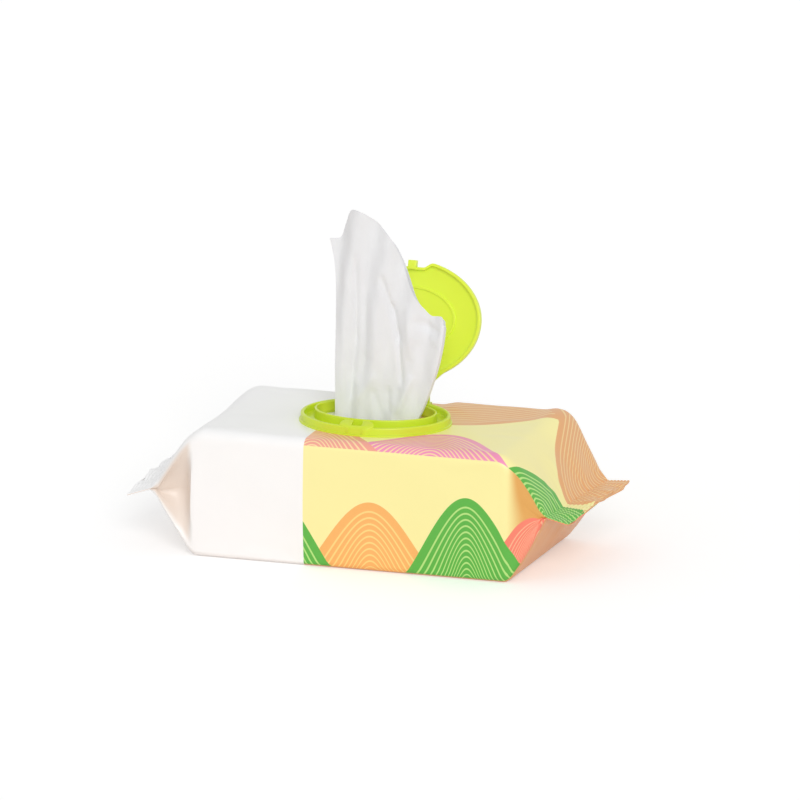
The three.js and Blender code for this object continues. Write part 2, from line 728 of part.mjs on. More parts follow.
// A skin over rings that each run out along one face of a sheet and back along the other. The end
// rings are closed by a strip between the two faces.
function skinWithSlotEnds(rings) {
  const count = rings[0].length;
  const vertices = rings.flat();
  const triangles = [];
  for (let i = 0; i + 1 < rings.length; i++) {
    for (let j = 0; j < count; j++) {
      const a = i * count + j;
      const b = i * count + ((j + 1) % count);
      triangles.push([a, b, b + count]);
      triangles.push([a, b + count, a + count]);
    }
  }
  const last = (rings.length - 1) * count;
  for (let k = 0; k + 1 < count / 2; k++) {
    const far = count - 1 - k;
    triangles.push([k + 1, k, far]);
    triangles.push([k + 1, far, far - 1]);
    triangles.push([last + k, last + k + 1, last + far]);
    triangles.push([last + k + 1, last + far - 1, last + far]);
  }
  return solidFrom(vertices, triangles);
}

// Materials

const film = new THREE.MeshStandardMaterial({ color: 0xfff2c4, roughness: 0.35, metalness: 0 });
const lime = new THREE.MeshStandardMaterial({ color: 0xd6f03a, roughness: 0.35, metalness: 0 });
const cloth = new THREE.MeshStandardMaterial({ color: 0xf2f2f2, roughness: 0.9, metalness: 0 });

// Assembly

const frame = namedMesh("lid_frame", makeFrame(), lime);
frame.position.set(OPENING_X, OPENING_Y, BODY_HEIGHT);

const lid = namedMesh("lid", makeLid(), lime);
lid.position.y = -HINGE_REACH;
const hinge = new THREE.Group();
hinge.position.set(OPENING_X, HINGE_Y, HINGE_Z);
hinge.rotation.x = -THREE.MathUtils.degToRad(LID_OPEN_DEGREES);
hinge.add(lid);

const pack = new THREE.Group();
pack.add(namedMesh("pouch", makePouch(), film));
pack.add(namedMesh("wipe_stack", makeStack(), cloth));
pack.add(namedMesh("pulled_wipe", makeWipe(), cloth));
pack.add(frame);
pack.add(hinge);

export default pack;
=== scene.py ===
"""The looks of a wet wipes pack: printed film, moulded flip-top lid, and a nonwoven wipe.

Sizes are in millimetres and are turned to metres when a mesh is made, apart from the view's, the
floor's and the sheet's flat size, which are in metres. The film's own coordinates are u, along the
pack, and v, round it: v is 0 at the front's lower edge, 80 at its upper edge, 196 at the back's
upper edge and 276 at its lower edge.
"""

import math

import bmesh
import bpy
import numpy as np
from mathutils import Matrix, Vector


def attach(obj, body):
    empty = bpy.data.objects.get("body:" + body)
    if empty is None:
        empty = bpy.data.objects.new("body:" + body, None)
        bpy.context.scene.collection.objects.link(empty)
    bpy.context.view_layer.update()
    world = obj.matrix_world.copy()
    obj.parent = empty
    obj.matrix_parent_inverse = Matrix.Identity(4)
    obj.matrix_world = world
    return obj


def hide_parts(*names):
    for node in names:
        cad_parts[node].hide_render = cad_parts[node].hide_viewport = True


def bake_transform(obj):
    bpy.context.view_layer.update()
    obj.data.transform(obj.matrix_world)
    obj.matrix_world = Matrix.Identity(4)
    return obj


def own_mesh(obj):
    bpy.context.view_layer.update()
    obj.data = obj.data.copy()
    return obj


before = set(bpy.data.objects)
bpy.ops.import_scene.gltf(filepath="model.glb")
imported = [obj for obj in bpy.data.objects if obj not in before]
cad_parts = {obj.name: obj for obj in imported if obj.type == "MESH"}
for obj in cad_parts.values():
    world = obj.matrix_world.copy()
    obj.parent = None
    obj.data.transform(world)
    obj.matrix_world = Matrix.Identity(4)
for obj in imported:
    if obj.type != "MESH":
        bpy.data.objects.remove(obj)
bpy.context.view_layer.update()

MM = 0.001

# Pouch
BODY_LENGTH = 204
BODY_DEPTH = 116
BODY_HEIGHT = 80
FILM = 0.4
TOP_RADIUS = 7
BOTTOM_RADIUS = 4
FACE_BULGE = 1.2
TOP_END_SOFTNESS = 8
SIDE_END_SOFTNESS = 5
BOTTOM_END_SOFTNESS = 3
SEAL_HEIGHT = 39.5
SEAL_DEPTH = 14.5
SEAL_THICKNESS = 1
SEAL_DROOP = 4.5
SEAL_RIPPLE = 0.9
SEAL_RIPPLE_PITCH = 26
CRIMP_PITCH = 2.2
CRIMP_HEIGHT = 0.22
SEAM_OFFSET = 9

# The film's v at the body's edges, and all the way round
TOP_FRONT_V = BODY_HEIGHT
TOP_BACK_V = BODY_HEIGHT + BODY_DEPTH
LOW_BACK_V = 2 * BODY_HEIGHT + BODY_DEPTH
GIRTH = 2 * (BODY_DEPTH + BODY_HEIGHT)

# Opening in the film, and the stack under it
OPENING_X = -2
OPENING_Y = -2
HOLE_HALF_LENGTH = 29.5
HOLE_HALF_DEPTH = 14
STACK_TOP = 74.3
HEADSPACE = 5

# Lid frame
FRAME_HALF_LENGTH = 46.8
FRAME_HALF_DEPTH = 38.3
FLANGE_PROUD = 1
FLANGE_THICKNESS = 1
FLANGE_ROUNDING = 0.4
RIM_HEIGHT = 5.5
RIM_WIDTH = 2.4
RIM_ROUNDING = 1
CHANNEL_FLOOR = 1.4
CHANNEL_FILLET = 0.6
COLLAR_HALF_LENGTH = 37
COLLAR_HALF_DEPTH = 24.5
COLLAR_WALL = 1.6
COLLAR_HEIGHT = 7.5
COLLAR_ROUNDING = 0.7
UNDERCUT_WIDTH = 1.2
UNDERCUT_HEIGHT = 1.5
UNDERCUT_SLANT = 0.5
LATCH_WIDTH = 22
LATCH_DEPTH = 6.5
LATCH_BACK_ROUNDING = 4
LATCH_PROUD = 0.5
LATCH_HEIGHT = 8.5
LATCH_FACE_WIDTH = 11
LATCH_FACE_OFFSET = 1
LATCH_SLOT_FLOOR = 4
FINGER_RECESS_WIDTH = 8
FINGER_RECESS_HEIGHT = 4
FINGER_RECESS_DEPTH = 1.6
CATCH_HOLE_WIDTH = 1.8
CATCH_HOLE_OFFSET = 0.8

# Hinge and lid
HINGE_REACH = 47.5
HINGE_WIDTH = 35
HINGE_GAP = 0.9
HEEL_THICKNESS = 2.4
HEEL_RISE = 2
WEB_THICKNESS = 0.35
WEB_SAG = 0.25
WEB_OVERLAP = 0.25
WEB_DROP = 0.1
WEB_INSET = 0.6
LID_OPEN_DEGREES = 106
LID_FRONT_HALF_DEPTH = 36.1
LID_HEIGHT = 5
LID_WALL = 1.6
LID_PLATE = 1.4
LID_CROWN = 0.5
LID_CROWN_PROFILE = [(0.3, 0.7), (0.7, 1)]
LID_EDGE_ROUNDING = 1.8
LID_LIP_ROUNDING = 0.4
LID_INNER_FILLET = 2.6
NECK_THICKNESS = 1.8
NECK_SPREAD = 9.5
NECK_FLARE_START = 0.4
NECK_BEND = (0.2, 0.6)
SEAL_RING_HALF_LENGTH = 29.7
SEAL_RING_HALF_DEPTH = 20
SEAL_RING_WALL = 1.4
SEAL_RING_DROP = 1.1
SEAL_RING_ROUNDING = 0.35
NOTCH_FLAT = 7
NOTCH_BEND = 7
HOOK_WIDTH = 5.3
HOOK_REACH = 4.1
HOOK_DROP = 1
HOOK_RISE = 3.2
LID_GAP = 0.3
LATCH_CLEARANCE = 0.8
HOOK_CLEARANCE = 0.55
CUT_OVER = 3.5
HOOK_ROOT = FRAME_HALF_DEPTH + LATCH_PROUD - LATCH_DEPTH - LATCH_CLEARANCE
EDGE_SOFTNESS = 0.35

# Pulled wipe
WIPE_THICKNESS = 0.5
WIPE_HEIGHT = 131.6
WIPE_FLAP_REACH = 44
WIPE_FOLD_BULGE = 0.2
WIPE_SIDE_TUCK = 1.4
WIPE_TUCK_RATE = 4
WIPE_GATHER_HALF_WIDTH = 26
WIPE_GATHER_RIPPLE = 0.8
WIPE_GATHER_FADE = 0.12
WIPE_UPRIGHT_POWER = 5
WIPE_SPREAD_POWER = 1.8
WIPE_SPREAD_RATE = 2.5
WIPE_LAYER_PITCH = 4
WIPE_WAVE = 1.5
WIPE_WAVE_PITCH = 21
WIPE_WAVE_SLANT = 0.12
WIPE_CRINKLE = 0.35
WIPE_CREASE_SHARE = 0.6
WIPE_FOLD_SHARE = 0.2
WIPE_LAST_SHARE = 0.92
WIPE_LAYER_DROP = 2.5
WIPE_LEAN = 6
WIPE_FOOT_HEIGHTS = (STACK_TOP + 0.3, 77.5)

# Mesh fineness
OVAL_STEPS = 168
ARC_STEPS = 5
CURVE_POINTS = 13

# Edges over these angles, in degrees, stay sharp
BLOCK_SHARP = 30
MOULDING_SHARP = 32

# The photograph's view
VIEW_AZIMUTH = math.radians(18.89)
VIEW_ELEVATION = math.radians(14.3)
VIEW_DISTANCE = 12.0
VIEW_WIDTH = 0.491
VIEW_TARGET_RIGHT = 0.0124
VIEW_TARGET_UP = 0.0903
SENSOR_WIDTH = 36


# Mesh helpers


def add_object(name, data):
    made = bpy.data.objects.new(name, data)
    bpy.context.scene.collection.objects.link(made)
    return made


def mesh_object(name, vertices, faces, sharp_degrees=None):
    """An object from points in millimetres, shaded smooth apart from edges over the given angle."""
    mesh = bpy.data.meshes.new(name)
    mesh.from_pydata((np.asarray(vertices, float) * MM).tolist(), [], faces)
    piece = add_object(name, mesh)
    shape = bmesh.new()
    shape.from_mesh(mesh)
    bmesh.ops.recalc_face_normals(shape, faces=shape.faces)
    shape.to_mesh(mesh)
    shape.free()
    shade(piece, sharp_degrees)
    return piece


def shade(piece, sharp_degrees):
    piece.data.shade_smooth()
    if sharp_degrees is not None:
        piece.data.set_sharp_from_angle(angle=math.radians(sharp_degrees))


def apply_modifiers(piece):
    bpy.context.view_layer.update()
    graph = bpy.context.evaluated_depsgraph_get()
    result = bpy.data.meshes.new_from_object(piece.evaluated_get(graph))
    piece.modifiers.clear()
    piece.data = result
    return piece


def combine(piece, tool, operation):
    """Joins or cuts one solid with another, which is then deleted."""
    modifier = piece.modifiers.new("combine", "BOOLEAN")
    modifier.operation = operation
    modifier.solver = "MANIFOLD"
    modifier.object = tool
    apply_modifiers(piece)
    bpy.data.objects.remove(tool)


def soften(piece, width=EDGE_SOFTNESS, segments=2, degrees=40):
    """Rounds a small solid's hard edges, as a mould does."""
    modifier = piece.modifiers.new("soften", "BEVEL")
    modifier.width = width * MM
    modifier.segments = segments
    modifier.limit_method = "ANGLE"
    modifier.angle_limit = math.radians(degrees)
    return apply_modifiers(piece)


def grid_faces(rows, columns, closed_rows=False, closed_columns=False):
    """The quads of a grid of points, stored row by row."""
    index = np.arange(rows * columns).reshape(rows, columns)
    if closed_rows:
        index = np.vstack([index, index[:1]])
    if closed_columns:
        index = np.hstack([index, index[:, :1]])
    corners = [index[:-1, :-1], index[:-1, 1:], index[1:, 1:], index[1:, :-1]]
    return np.stack([corner.ravel() for corner in corners], axis=1).tolist()


def lofted(name, rings, sharp_degrees=None):
    """A closed skin over rings of points, with a fan over each end ring."""
    rings = np.asarray(rings, float)
    stations, count = rings.shape[:2]
    faces = grid_faces(stations, count, closed_columns=True)
    hubs = [rings[0].mean(axis=0), rings[-1].mean(axis=0)]
    vertices = np.concatenate([rings.reshape(-1, 3), hubs])
    last = (stations - 1) * count
    for j in range(count):
        after = (j + 1) % count
        faces.append([after, j, stations * count])
        faces.append([last + j, last + after, stations * count + 1])
    return mesh_object(name, vertices, faces, sharp_degrees)


def oval(half_length, half_depth, z):
    angle = 2 * np.pi * np.arange(OVAL_STEPS) / OVAL_STEPS
    x = half_length * np.cos(angle)
    y = half_depth * np.sin(angle)
    return np.stack([x, y, np.full(OVAL_STEPS, float(z))], axis=1)


def oval_ring(name, profile, sharp_degrees=BLOCK_SHARP):
    """A ring whose section is a closed profile of half length, half depth and height."""
    rings = np.array([oval(*point) for point in profile])
    faces = grid_faces(len(profile), OVAL_STEPS, closed_rows=True, closed_columns=True)
    return mesh_object(name, rings.reshape(-1, 3), faces, sharp_degrees)


def arc(corner_x, corner_z, radius, start_degrees, end_degrees):
    """Points of the arc that rounds a section's sharp corner."""
    middle = math.radians((start_degrees + end_degrees) / 2)
    x = corner_x - math.copysign(radius, math.cos(middle))
    z = corner_z - math.copysign(radius, math.sin(middle))
    angles = np.radians(np.linspace(start_degrees, end_degrees, ARC_STEPS + 1))
    return [(x + radius * math.cos(a), z + radius * math.sin(a)) for a in angles]


def capped(name, low, high):
    """A solid between two outlines with the same number of points."""
    count = len(low)
    sides = [[k, (k + 1) % count, count + (k + 1) % count, count + k] for k in range(count)]
    caps = [list(range(count)), list(range(count, 2 * count))]
    return mesh_object(name, low + high, sides + caps, BLOCK_SHARP)


def prism(name, outline, low_z, high_z):
    """An outline in XY, extruded from one height to another."""
    low = [(x, y, low_z) for x, y in outline]
    high = [(x, y, high_z) for x, y in outline]
    return capped(name, low, high)


def extruded_x(name, profile, half_width):
    """A profile in YZ, extruded along X to both sides of the middle."""
    low = [(-half_width, y, z) for y, z in profile]
    high = [(half_width, y, z) for y, z in profile]
    return capped(name, low, high)


def block(name, x_range, y_range, z_range):
    (low_x, high_x), (low_y, high_y) = x_range, y_range
    outline = [(low_x, low_y), (high_x, low_y), (high_x, high_y), (low_x, high_y)]
    return prism(name, outline, *z_range)


def mix(start, end, share):
    return start + (end - start) * share


def smooth(share):
    return share * share * (3 - 2 * share)


def ridge(a, b, start, end, half_width, height, flatness=2):
    """A soft ridge between two places, highest at its middle and fading out at both ends."""
    run_a = end[0] - start[0]
    run_b = end[1] - start[1]
    length = math.hypot(run_a, run_b)
    along = ((a - start[0]) * run_a + (b - start[1]) * run_b) / length**2
    across = ((b - start[1]) * run_a - (a - start[0]) * run_b) / length
    fade = np.clip(1 - (2 * along - 1) ** flatness, 0, 1)
    return height * fade * np.exp(-((across / half_width) ** 2))


def ramp(start, end, value):
    """0 up to the start, 1 from the end on, and smooth between them."""
    return smooth(np.clip((value - start) / (end - start), 0, 1))


# From the lid frame's own coordinates, centred on the opening, to the pack's
SEAT = Matrix.Translation(Vector((OPENING_X, OPENING_Y, BODY_HEIGHT)) * MM)


# Pouch film

# Each end's side, its slope's reach, faces' inset and gussets' tuck (front, back), and its swell
RIGHT_END = {"side": 1, "reach": (20, 27), "inset": (14.5, 3), "tuck": (1, 9), "swell": 2.2}
LEFT_END = {"side": -1, "reach": (28, 27), "inset": (3, 4), "tuck": (12, 10), "swell": 1.2}

# A corner's radius is at most this share of its ring's height
CORNER_LIMIT = 0.4

# The gussets' tuck is deepest towards the body, and curves from edge to edge
TUCK_LEAD = 0.7
TUCK_CURVE = 1.4

# The seal's small ripples as shares of its long ones, and how fast its droop ends
SMALL_RIPPLE = 0.35
SMALL_RIPPLE_PITCH = 0.37
DROOP_FADE = 2.6


def soft_fall(stage, softness):
    """The share of a slope's fall, with a parabola where the flat panel bends into the slope."""
    if stage <= -softness:
        return 0.0
    if stage < softness:
        return (stage + softness) ** 2 / (4 * softness)
    return min(stage, 1.0)


def seal_lift(end, y):
    """The seal's lift at its free edge: long ripples, and a droop at the front corner."""
    from_front = (y + BODY_DEPTH / 2) / BODY_DEPTH
    ripple = SEAL_RIPPLE * np.sin(2 * np.pi * y / SEAL_RIPPLE_PITCH + end["side"])
    small_pitch = SMALL_RIPPLE_PITCH * SEAL_RIPPLE_PITCH
    small = SMALL_RIPPLE * SEAL_RIPPLE * np.sin(2 * np.pi * y / small_pitch + 2 * end["side"])
    return ripple + small - SEAL_DROOP * np.maximum(1 - DROOP_FADE * from_front, 0)


def ring_layout(bottom, corner, side, top):
    """Each ring point's segment and share, and its v. Rings start at the seam underneath."""
    seam_v = BODY_DEPTH / 2 + SEAM_OFFSET
    top_front = TOP_FRONT_V - GIRTH
    top_back = TOP_BACK_V - GIRTH
    low_back = LOW_BACK_V - GIRTH
    plan = [
        ("front_low_corner", corner, BOTTOM_RADIUS, -BOTTOM_RADIUS),
        ("bottom", bottom, -BOTTOM_RADIUS, BOTTOM_RADIUS - BODY_DEPTH),
        ("back_low_corner", corner, low_back + BOTTOM_RADIUS, low_back - BOTTOM_RADIUS),
        ("back", side, low_back - BOTTOM_RADIUS, top_back + TOP_RADIUS),
        ("back_top_corner", corner, top_back + TOP_RADIUS, top_back - TOP_RADIUS),
        ("top", top, top_back - TOP_RADIUS, top_front + TOP_RADIUS),
        ("front_top_corner", corner, top_front + TOP_RADIUS, top_front - TOP_RADIUS),
        ("front", side, top_front - TOP_RADIUS, BOTTOM_RADIUS - GIRTH),
    ]
    points = []
    for segment, steps, start_v, end_v in plan:
        points += [(segment, k / steps, mix(start_v, end_v, k / steps)) for k in range(steps)]
    first = next(k for k, point in enumerate(points) if point[2] < -seam_v)
    points = points[first:] + points[:first]
    return [(segment, share, v + GIRTH if v < -seam_v else v) for segment, share, v in points]


def pouch_ring(end, stage, wall, layout, top_drop):
    """One ring: points in space, and each point's u. Stages below 0 lie in the body, 0 to 1 on
    the slopes and 1 to 2 on the seal."""
    slope = min(max(stage, 0.0), 1.0)
    seal = max(stage - 1, 0.0)
    reach = sum(end["reach"]) / 2
    steepness = mix(1, math.hypot(reach, SEAL_HEIGHT) / reach, min(4 * slope, 1))
    half_seal = SEAL_THICKNESS / 2
    top_fall = soft_fall(stage, TOP_END_SOFTNESS / reach)
    bottom_rise = soft_fall(stage, BOTTOM_END_SOFTNESS / reach)
    side_in = soft_fall(stage, SIDE_END_SOFTNESS / reach)
    swell = end["swell"] * (4 * slope * (1 - slope)) ** 2
    top_z = BODY_HEIGHT - top_fall * (BODY_HEIGHT - SEAL_HEIGHT - half_seal) - wall * steepness
    top_z += swell - top_drop
    bottom_z = bottom_rise * (SEAL_HEIGHT - half_seal) + wall * steepness - swell
    front_y = -BODY_DEPTH / 2 + side_in * end["inset"][0] + wall
    back_y = BODY_DEPTH / 2 - side_in * end["inset"][1] - wall
    top_radius = min(TOP_RADIUS - wall, CORNER_LIMIT * (top_z - bottom_z))
    low_radius = min(BOTTOM_RADIUS - wall, CORNER_LIMIT * (top_z - bottom_z))
    low_side = bottom_z + low_radius
    high_side = top_z - top_radius
    depth_along = math.sin(math.pi * slope**TUCK_LEAD)
    corners = {
        "front_low_corner": (front_y + low_radius, low_side, low_radius, 180),
        "back_low_corner": (back_y - low_radius, low_side, low_radius, 270),
        "back_top_corner": (back_y - top_radius, high_side, top_radius, 0),
        "front_top_corner": (front_y + top_radius, high_side, top_radius, 90),
    }
    sides = {"back": (back_y, 1, end["tuck"][1]), "front": (front_y, -1, end["tuck"][0])}
    section = []
    for segment, share, v in layout:
        if segment in corners:
            centre_y, centre_z, radius, start = corners[segment]
            angle = math.radians(start + 90 * share)
            y = centre_y + radius * math.cos(angle)
            z = centre_z + radius * math.sin(angle)
        elif segment in sides:
            face_y, outward, tuck = sides[segment]
            height = share if segment == "back" else 1 - share
            bulge = FACE_BULGE * 4 * height * (1 - height) * (1 - slope)
            depth_across = 1 - abs(2 * height - 1) ** TUCK_CURVE
            tucked = (tuck + 1.5 * wall) * depth_along * depth_across
            y = face_y + outward * (bulge - tucked)
            z = mix(low_side, high_side, height)
        elif segment == "bottom":
            y = mix(front_y + low_radius, back_y - low_radius, share)
            z = bottom_z
        else:
            y = mix(back_y - top_radius, front_y + top_radius, share)
            z = top_z
        section.append((y, z, v))
    y, z, v = np.array(section).T
    across = np.clip((y - front_y) / (back_y - front_y), 0, 1)
    local_reach = mix(end["reach"][0], end["reach"][1], across) if stage > 0 else reach
    beyond = min(stage, 1.0) * local_reach + seal * SEAL_DEPTH
    x = end["side"] * (BODY_LENGTH / 2 + beyond)
    z = z + seal * seal_lift(end, y)
    edges_v = [-BODY_DEPTH, 0, TOP_FRONT_V, TOP_BACK_V, LOW_BACK_V, GIRTH]
    body_z = np.interp(v, edges_v, [0, 0, BODY_HEIGHT, BODY_HEIGHT, 0, 0])
    slope_length = np.hypot(local_reach, body_z - SEAL_HEIGHT)
    along = stage * reach if stage < 0 else slope * slope_length + seal * SEAL_DEPTH
    u = end["side"] * (BODY_LENGTH / 2 + along) + 0 * y
    return np.stack([x + 0 * y, y, z], axis=1), u


def pouch_grid(bend, end_stages, layout, body_spans, wall=0.0, top_drop=0.0):
    """All rings from the left seal's edge to the right one's: points, u, and each ring's stage.
    The bend's rings are given by their distances from the body's end."""
    halves = []
    for end in (LEFT_END, RIGHT_END):
        reach = sum(end["reach"]) / 2
        bend_start = BODY_LENGTH / 2 - TOP_END_SOFTNESS
        body_x = [bend_start * (k + 1) / body_spans for k in range(body_spans)]
        stages = [(x - BODY_LENGTH / 2) / reach for x in body_x]
        stages += [distance / reach for distance in bend] + list(end_stages)
        rings = [(*pouch_ring(end, stage, wall, layout, top_drop), stage) for stage in stages]
        halves.append(rings)
    rings = halves[0][::-1] + halves[1]
    points = np.array([ring[0] for ring in rings])
    u = np.array([ring[1] for ring in rings])
    stages = np.array([ring[2] for ring in rings])
    return points, u, stages


def surface_normals(points):
    """Outward unit normals of the pouch's grid of rings."""
    along = np.gradient(points, axis=0)
    around = np.roll(points, -1, axis=1) - np.roll(points, 1, axis=1)
    normals = np.cross(around, along)
    lengths = np.linalg.norm(normals, axis=2, keepdims=True)
    normals = normals / np.maximum(lengths, 1e-9)
    middle = points.shape[0] // 2
    facing = np.sum(normals[middle] * (points[middle] - points[middle].mean(axis=0)))
    return normals if facing > 0 else -normals


# Inside of the pouch, where only the hole's rim has the film's own thickness
INNER_WALL = 0.9
INNER_DROP = 2.2
HOLE_MARGIN = 8

# How far the full pack lifts the back of its top panel and fills out its back right corner, and
# where this grows in y, ends in v and grows away from the hinge's end
BACK_CROWN = 2.0
CORNER_SWELL = 3.0
CORNER_SWELL_WIDTH = 8
CROWN_FROM_Y = (5, 50)
CROWN_FROM_V = (245, 200)
CROWN_FROM_HINGE = (6, 18)

# Heights of the film's ripples, the slopes' streaks and waves, and the wear of the seals' edges
BROAD_RIPPLE = 0.22
FINE_RIPPLE = 0.14
STREAK_HEIGHT = 0.28
SLOPE_WAVE = 0.5
EDGE_WEAR = 0.5

# Where the film stays flat: the underside, and the panel under the lid frame and the hinge
UNDERSIDE_MARGIN = 3
UNDERSIDE_SLOPE = 0.05
TOP_MARGIN = 2
FRAME_MARGIN = 3
FRAME_FADE = 0.25
HINGE_MARGIN = 5
BEHIND_HINGE_Y = 54
BEHIND_HINGE_FADE = 4

# The stage of the first ring past the bend into the slope
SLOPE_START = 0.36

# Folds of the film: start and end as (u, v), half width and height. A negative height is a dent.
FILM_FOLDS = [
    ((96, 6), (99, 74), 5.5, -0.7),
    ((-104, 8), (-99, 70), 4, 0.4),
    ((60, 70), (101, 77), 3, 0.4),
    ((-92, 66), (-60, 82), 4, 0.35),
    ((-70, 12), (-20, 3), 5, -0.35),
    ((40, 8), (86, 3), 4, -0.3),
    ((62, 92), (100, 84), 2.6, 0.5),
    ((58, 150), (101, 172), 3.5, 0.45),
    ((-60, 178), (-101, 188), 3.2, 0.5),
    ((-56, 96), (-100, 86), 3.2, 0.4),
    ((66, 128), (104, 131), 5, -0.35),
    ((-64, 132), (-104, 128), 5, -0.3),
    ((20, 196), (70, 206), 3.5, 0.4),
    ((-80, 204), (-30, 214), 4, -0.4),
    ((30, 262), (90, 246), 4.5, -0.4),
]


def film_relief(u, v, x, y, stages):
    """How far the film stands out from its plain form, in millimetres. In each wave, the divisors
    set its length and the added numbers its phase."""
    slope = np.clip(stages, 0, 1)[:, None]
    relief = BROAD_RIPPLE * np.sin(u / 17 + 0.6) * np.sin(v / 13 + 1.1)
    relief += FINE_RIPPLE * np.sin(u / 7.3 + v / 19) * np.sin(v / 8.1 - u / 23)
    for line in FILM_FOLDS:
        relief += ridge(u, v, *line)
    streaks = np.sin(v / 1.15 + 1.3 * np.sin(v / 6.1)) * (0.6 + 0.4 * np.sin(v / 4.3 + u / 60))
    relief += STREAK_HEIGHT * slope**2 * streaks
    relief += SLOPE_WAVE * slope * np.sin(v / 5.2 + np.sign(u)) * np.sin(np.pi * slope)
    relief += back_fullness(v, x, y, slope)
    under = (v < UNDERSIDE_MARGIN) | (v > LOW_BACK_V - UNDERSIDE_MARGIN)
    relief = np.where(under & (slope < UNDERSIDE_SLOPE), 0, relief)
    on_top = (v > TOP_FRONT_V - TOP_MARGIN) & (v < TOP_BACK_V + TOP_MARGIN)
    relief = np.where(on_top, settled_under_frame(relief, x, y), relief)
    on_seal = (stages > 1)[:, None]
    return np.where(on_seal, 0, relief)


def back_fullness(v, x, y, slope):
    """The crown along the back of the top panel, and the swell of the back right corner."""
    to_back = ramp(*CROWN_FROM_Y, y) * ramp(*CROWN_FROM_V, v) * (v > TOP_FRONT_V - TOP_MARGIN)
    beside_hinge = ramp(*CROWN_FROM_HINGE, np.abs(x - OPENING_X) - HINGE_WIDTH / 2)
    corner = np.exp(-(((x - BODY_LENGTH / 2) / CORNER_SWELL_WIDTH) ** 2))
    return to_back * (BACK_CROWN * beside_hinge * (1 - slope) + CORNER_SWELL * corner)


def settled_under_frame(relief, x, y):
    """The relief, faded out under the lid frame and its hinge, which sit on a flat panel."""
    reach_x = (x - OPENING_X) / (FRAME_HALF_LENGTH + FRAME_MARGIN)
    reach_y = (y - OPENING_Y) / (FRAME_HALF_DEPTH + FRAME_MARGIN)
    free = np.clip((np.hypot(reach_x, reach_y) - 1) / FRAME_FADE, 0, 1)
    hinge_side = (np.abs(x - OPENING_X) < HINGE_WIDTH / 2 + HINGE_MARGIN) & (y > OPENING_Y)
    behind_hinge = np.clip((y - BEHIND_HINGE_Y) / BEHIND_HINGE_FADE, 0, 1)
    return relief * free * np.where(hinge_side, behind_hinge, 1)


def finish_seals(points, stages):
    """Presses the crimp into both seals, and wears their free edges."""
    on_seal = np.clip(stages - 1, 0, 1)[:, None]
    crimp = CRIMP_HEIGHT * np.sin(2 * np.pi * on_seal * SEAL_DEPTH / CRIMP_PITCH)
    y = points[:, :, 1]
    worn = 0.5 * on_seal * np.sin(y / 3.1) + 0.3 * on_seal * np.sin(y / 1.3)
    points[:, :, 2] += np.where(on_seal > 0, crimp, 0)
    points[:, :, 0] += np.sign(points[:, :, 0]) * EDGE_WEAR * worn


def make_film():
    layout = ring_layout(bottom=54, corner=8, side=42, top=92)
    bend = np.linspace(-TOP_END_SOFTNESS, TOP_END_SOFTNESS, num=13)[1:]
    slope = np.linspace(SLOPE_START, 1, num=24)[1:]
    seal = 1 + np.linspace(0, 1, num=34)[1:]
    points, u, stage_of = pouch_grid(bend, [*slope, *seal], layout, body_spans=46)
    v = np.array([point[2] for point in layout])[None, :] + 0 * u
    relief = film_relief(u, v, points[:, :, 0], points[:, :, 1], stage_of)
    points = points + relief[:, :, None] * surface_normals(points)
    finish_seals(points, stage_of)
    points[:, :, 2] = np.maximum(points[:, :, 2], 0)
    film = lofted("pouch_film", points)
    places = np.stack([u.ravel(), v.ravel()], axis=1)
    known = film.data.vertices[: len(places)]
    outer = {place_key(vertex): place for vertex, place in zip(known, places)}
    cut_inside(film)
    store_places(film, outer)
    shade(film, sharp_degrees=60)
    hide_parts("pouch")
    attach(film, "pack")
    return film


def cut_inside(film):
    """Hollows the film out, thins it round the hole to its own thickness, and cuts the hole."""
    layout = ring_layout(bottom=14, corner=3, side=9, top=18)
    bend = [-BOTTOM_END_SOFTNESS, 0]
    points, _, _ = pouch_grid(bend, [], layout, 3, INNER_WALL, INNER_DROP)
    combine(film, lofted("inside", points), "DIFFERENCE")
    thinned = oval(HOLE_HALF_LENGTH + HOLE_MARGIN, HOLE_HALF_DEPTH + HOLE_MARGIN, 0)[:, :2]
    under_hole = prism("under_hole", thinned.tolist(), -FILM - HEADSPACE, -FILM)
    under_hole.data.transform(SEAT)
    combine(film, under_hole, "DIFFERENCE")
    hole = oval(HOLE_HALF_LENGTH, HOLE_HALF_DEPTH, 0)[:, :2] + (OPENING_X, OPENING_Y)
    hole_z = (BODY_HEIGHT - HEADSPACE, BODY_HEIGHT + HEADSPACE)
    combine(film, prism("hole", hole.tolist(), *hole_z), "DIFFERENCE")


def place_key(vertex):
    """A vertex's place, rounded so that it is found again after the cuts."""
    return tuple(round(c, 7) for c in vertex.co)


def store_places(film, outer):
    """Gives each vertex its u and v. What the cuts added takes the plain place on the top panel."""
    attribute = film.data.attributes.new("film_place", "FLOAT_VECTOR", "POINT")
    values = np.zeros((len(film.data.vertices), 3))
    for index, vertex in enumerate(film.data.vertices):
        place = outer.get(place_key(vertex))
        if place is None:
            x, y = vertex.co[0] / MM, vertex.co[1] / MM
            place = (x, BODY_HEIGHT + y + BODY_DEPTH / 2)
        values[index, :2] = place
    attribute.data.foreach_set("vector", values.ravel())


# Lid frame, in coordinates of its own: the opening's centre under the flange is the origin


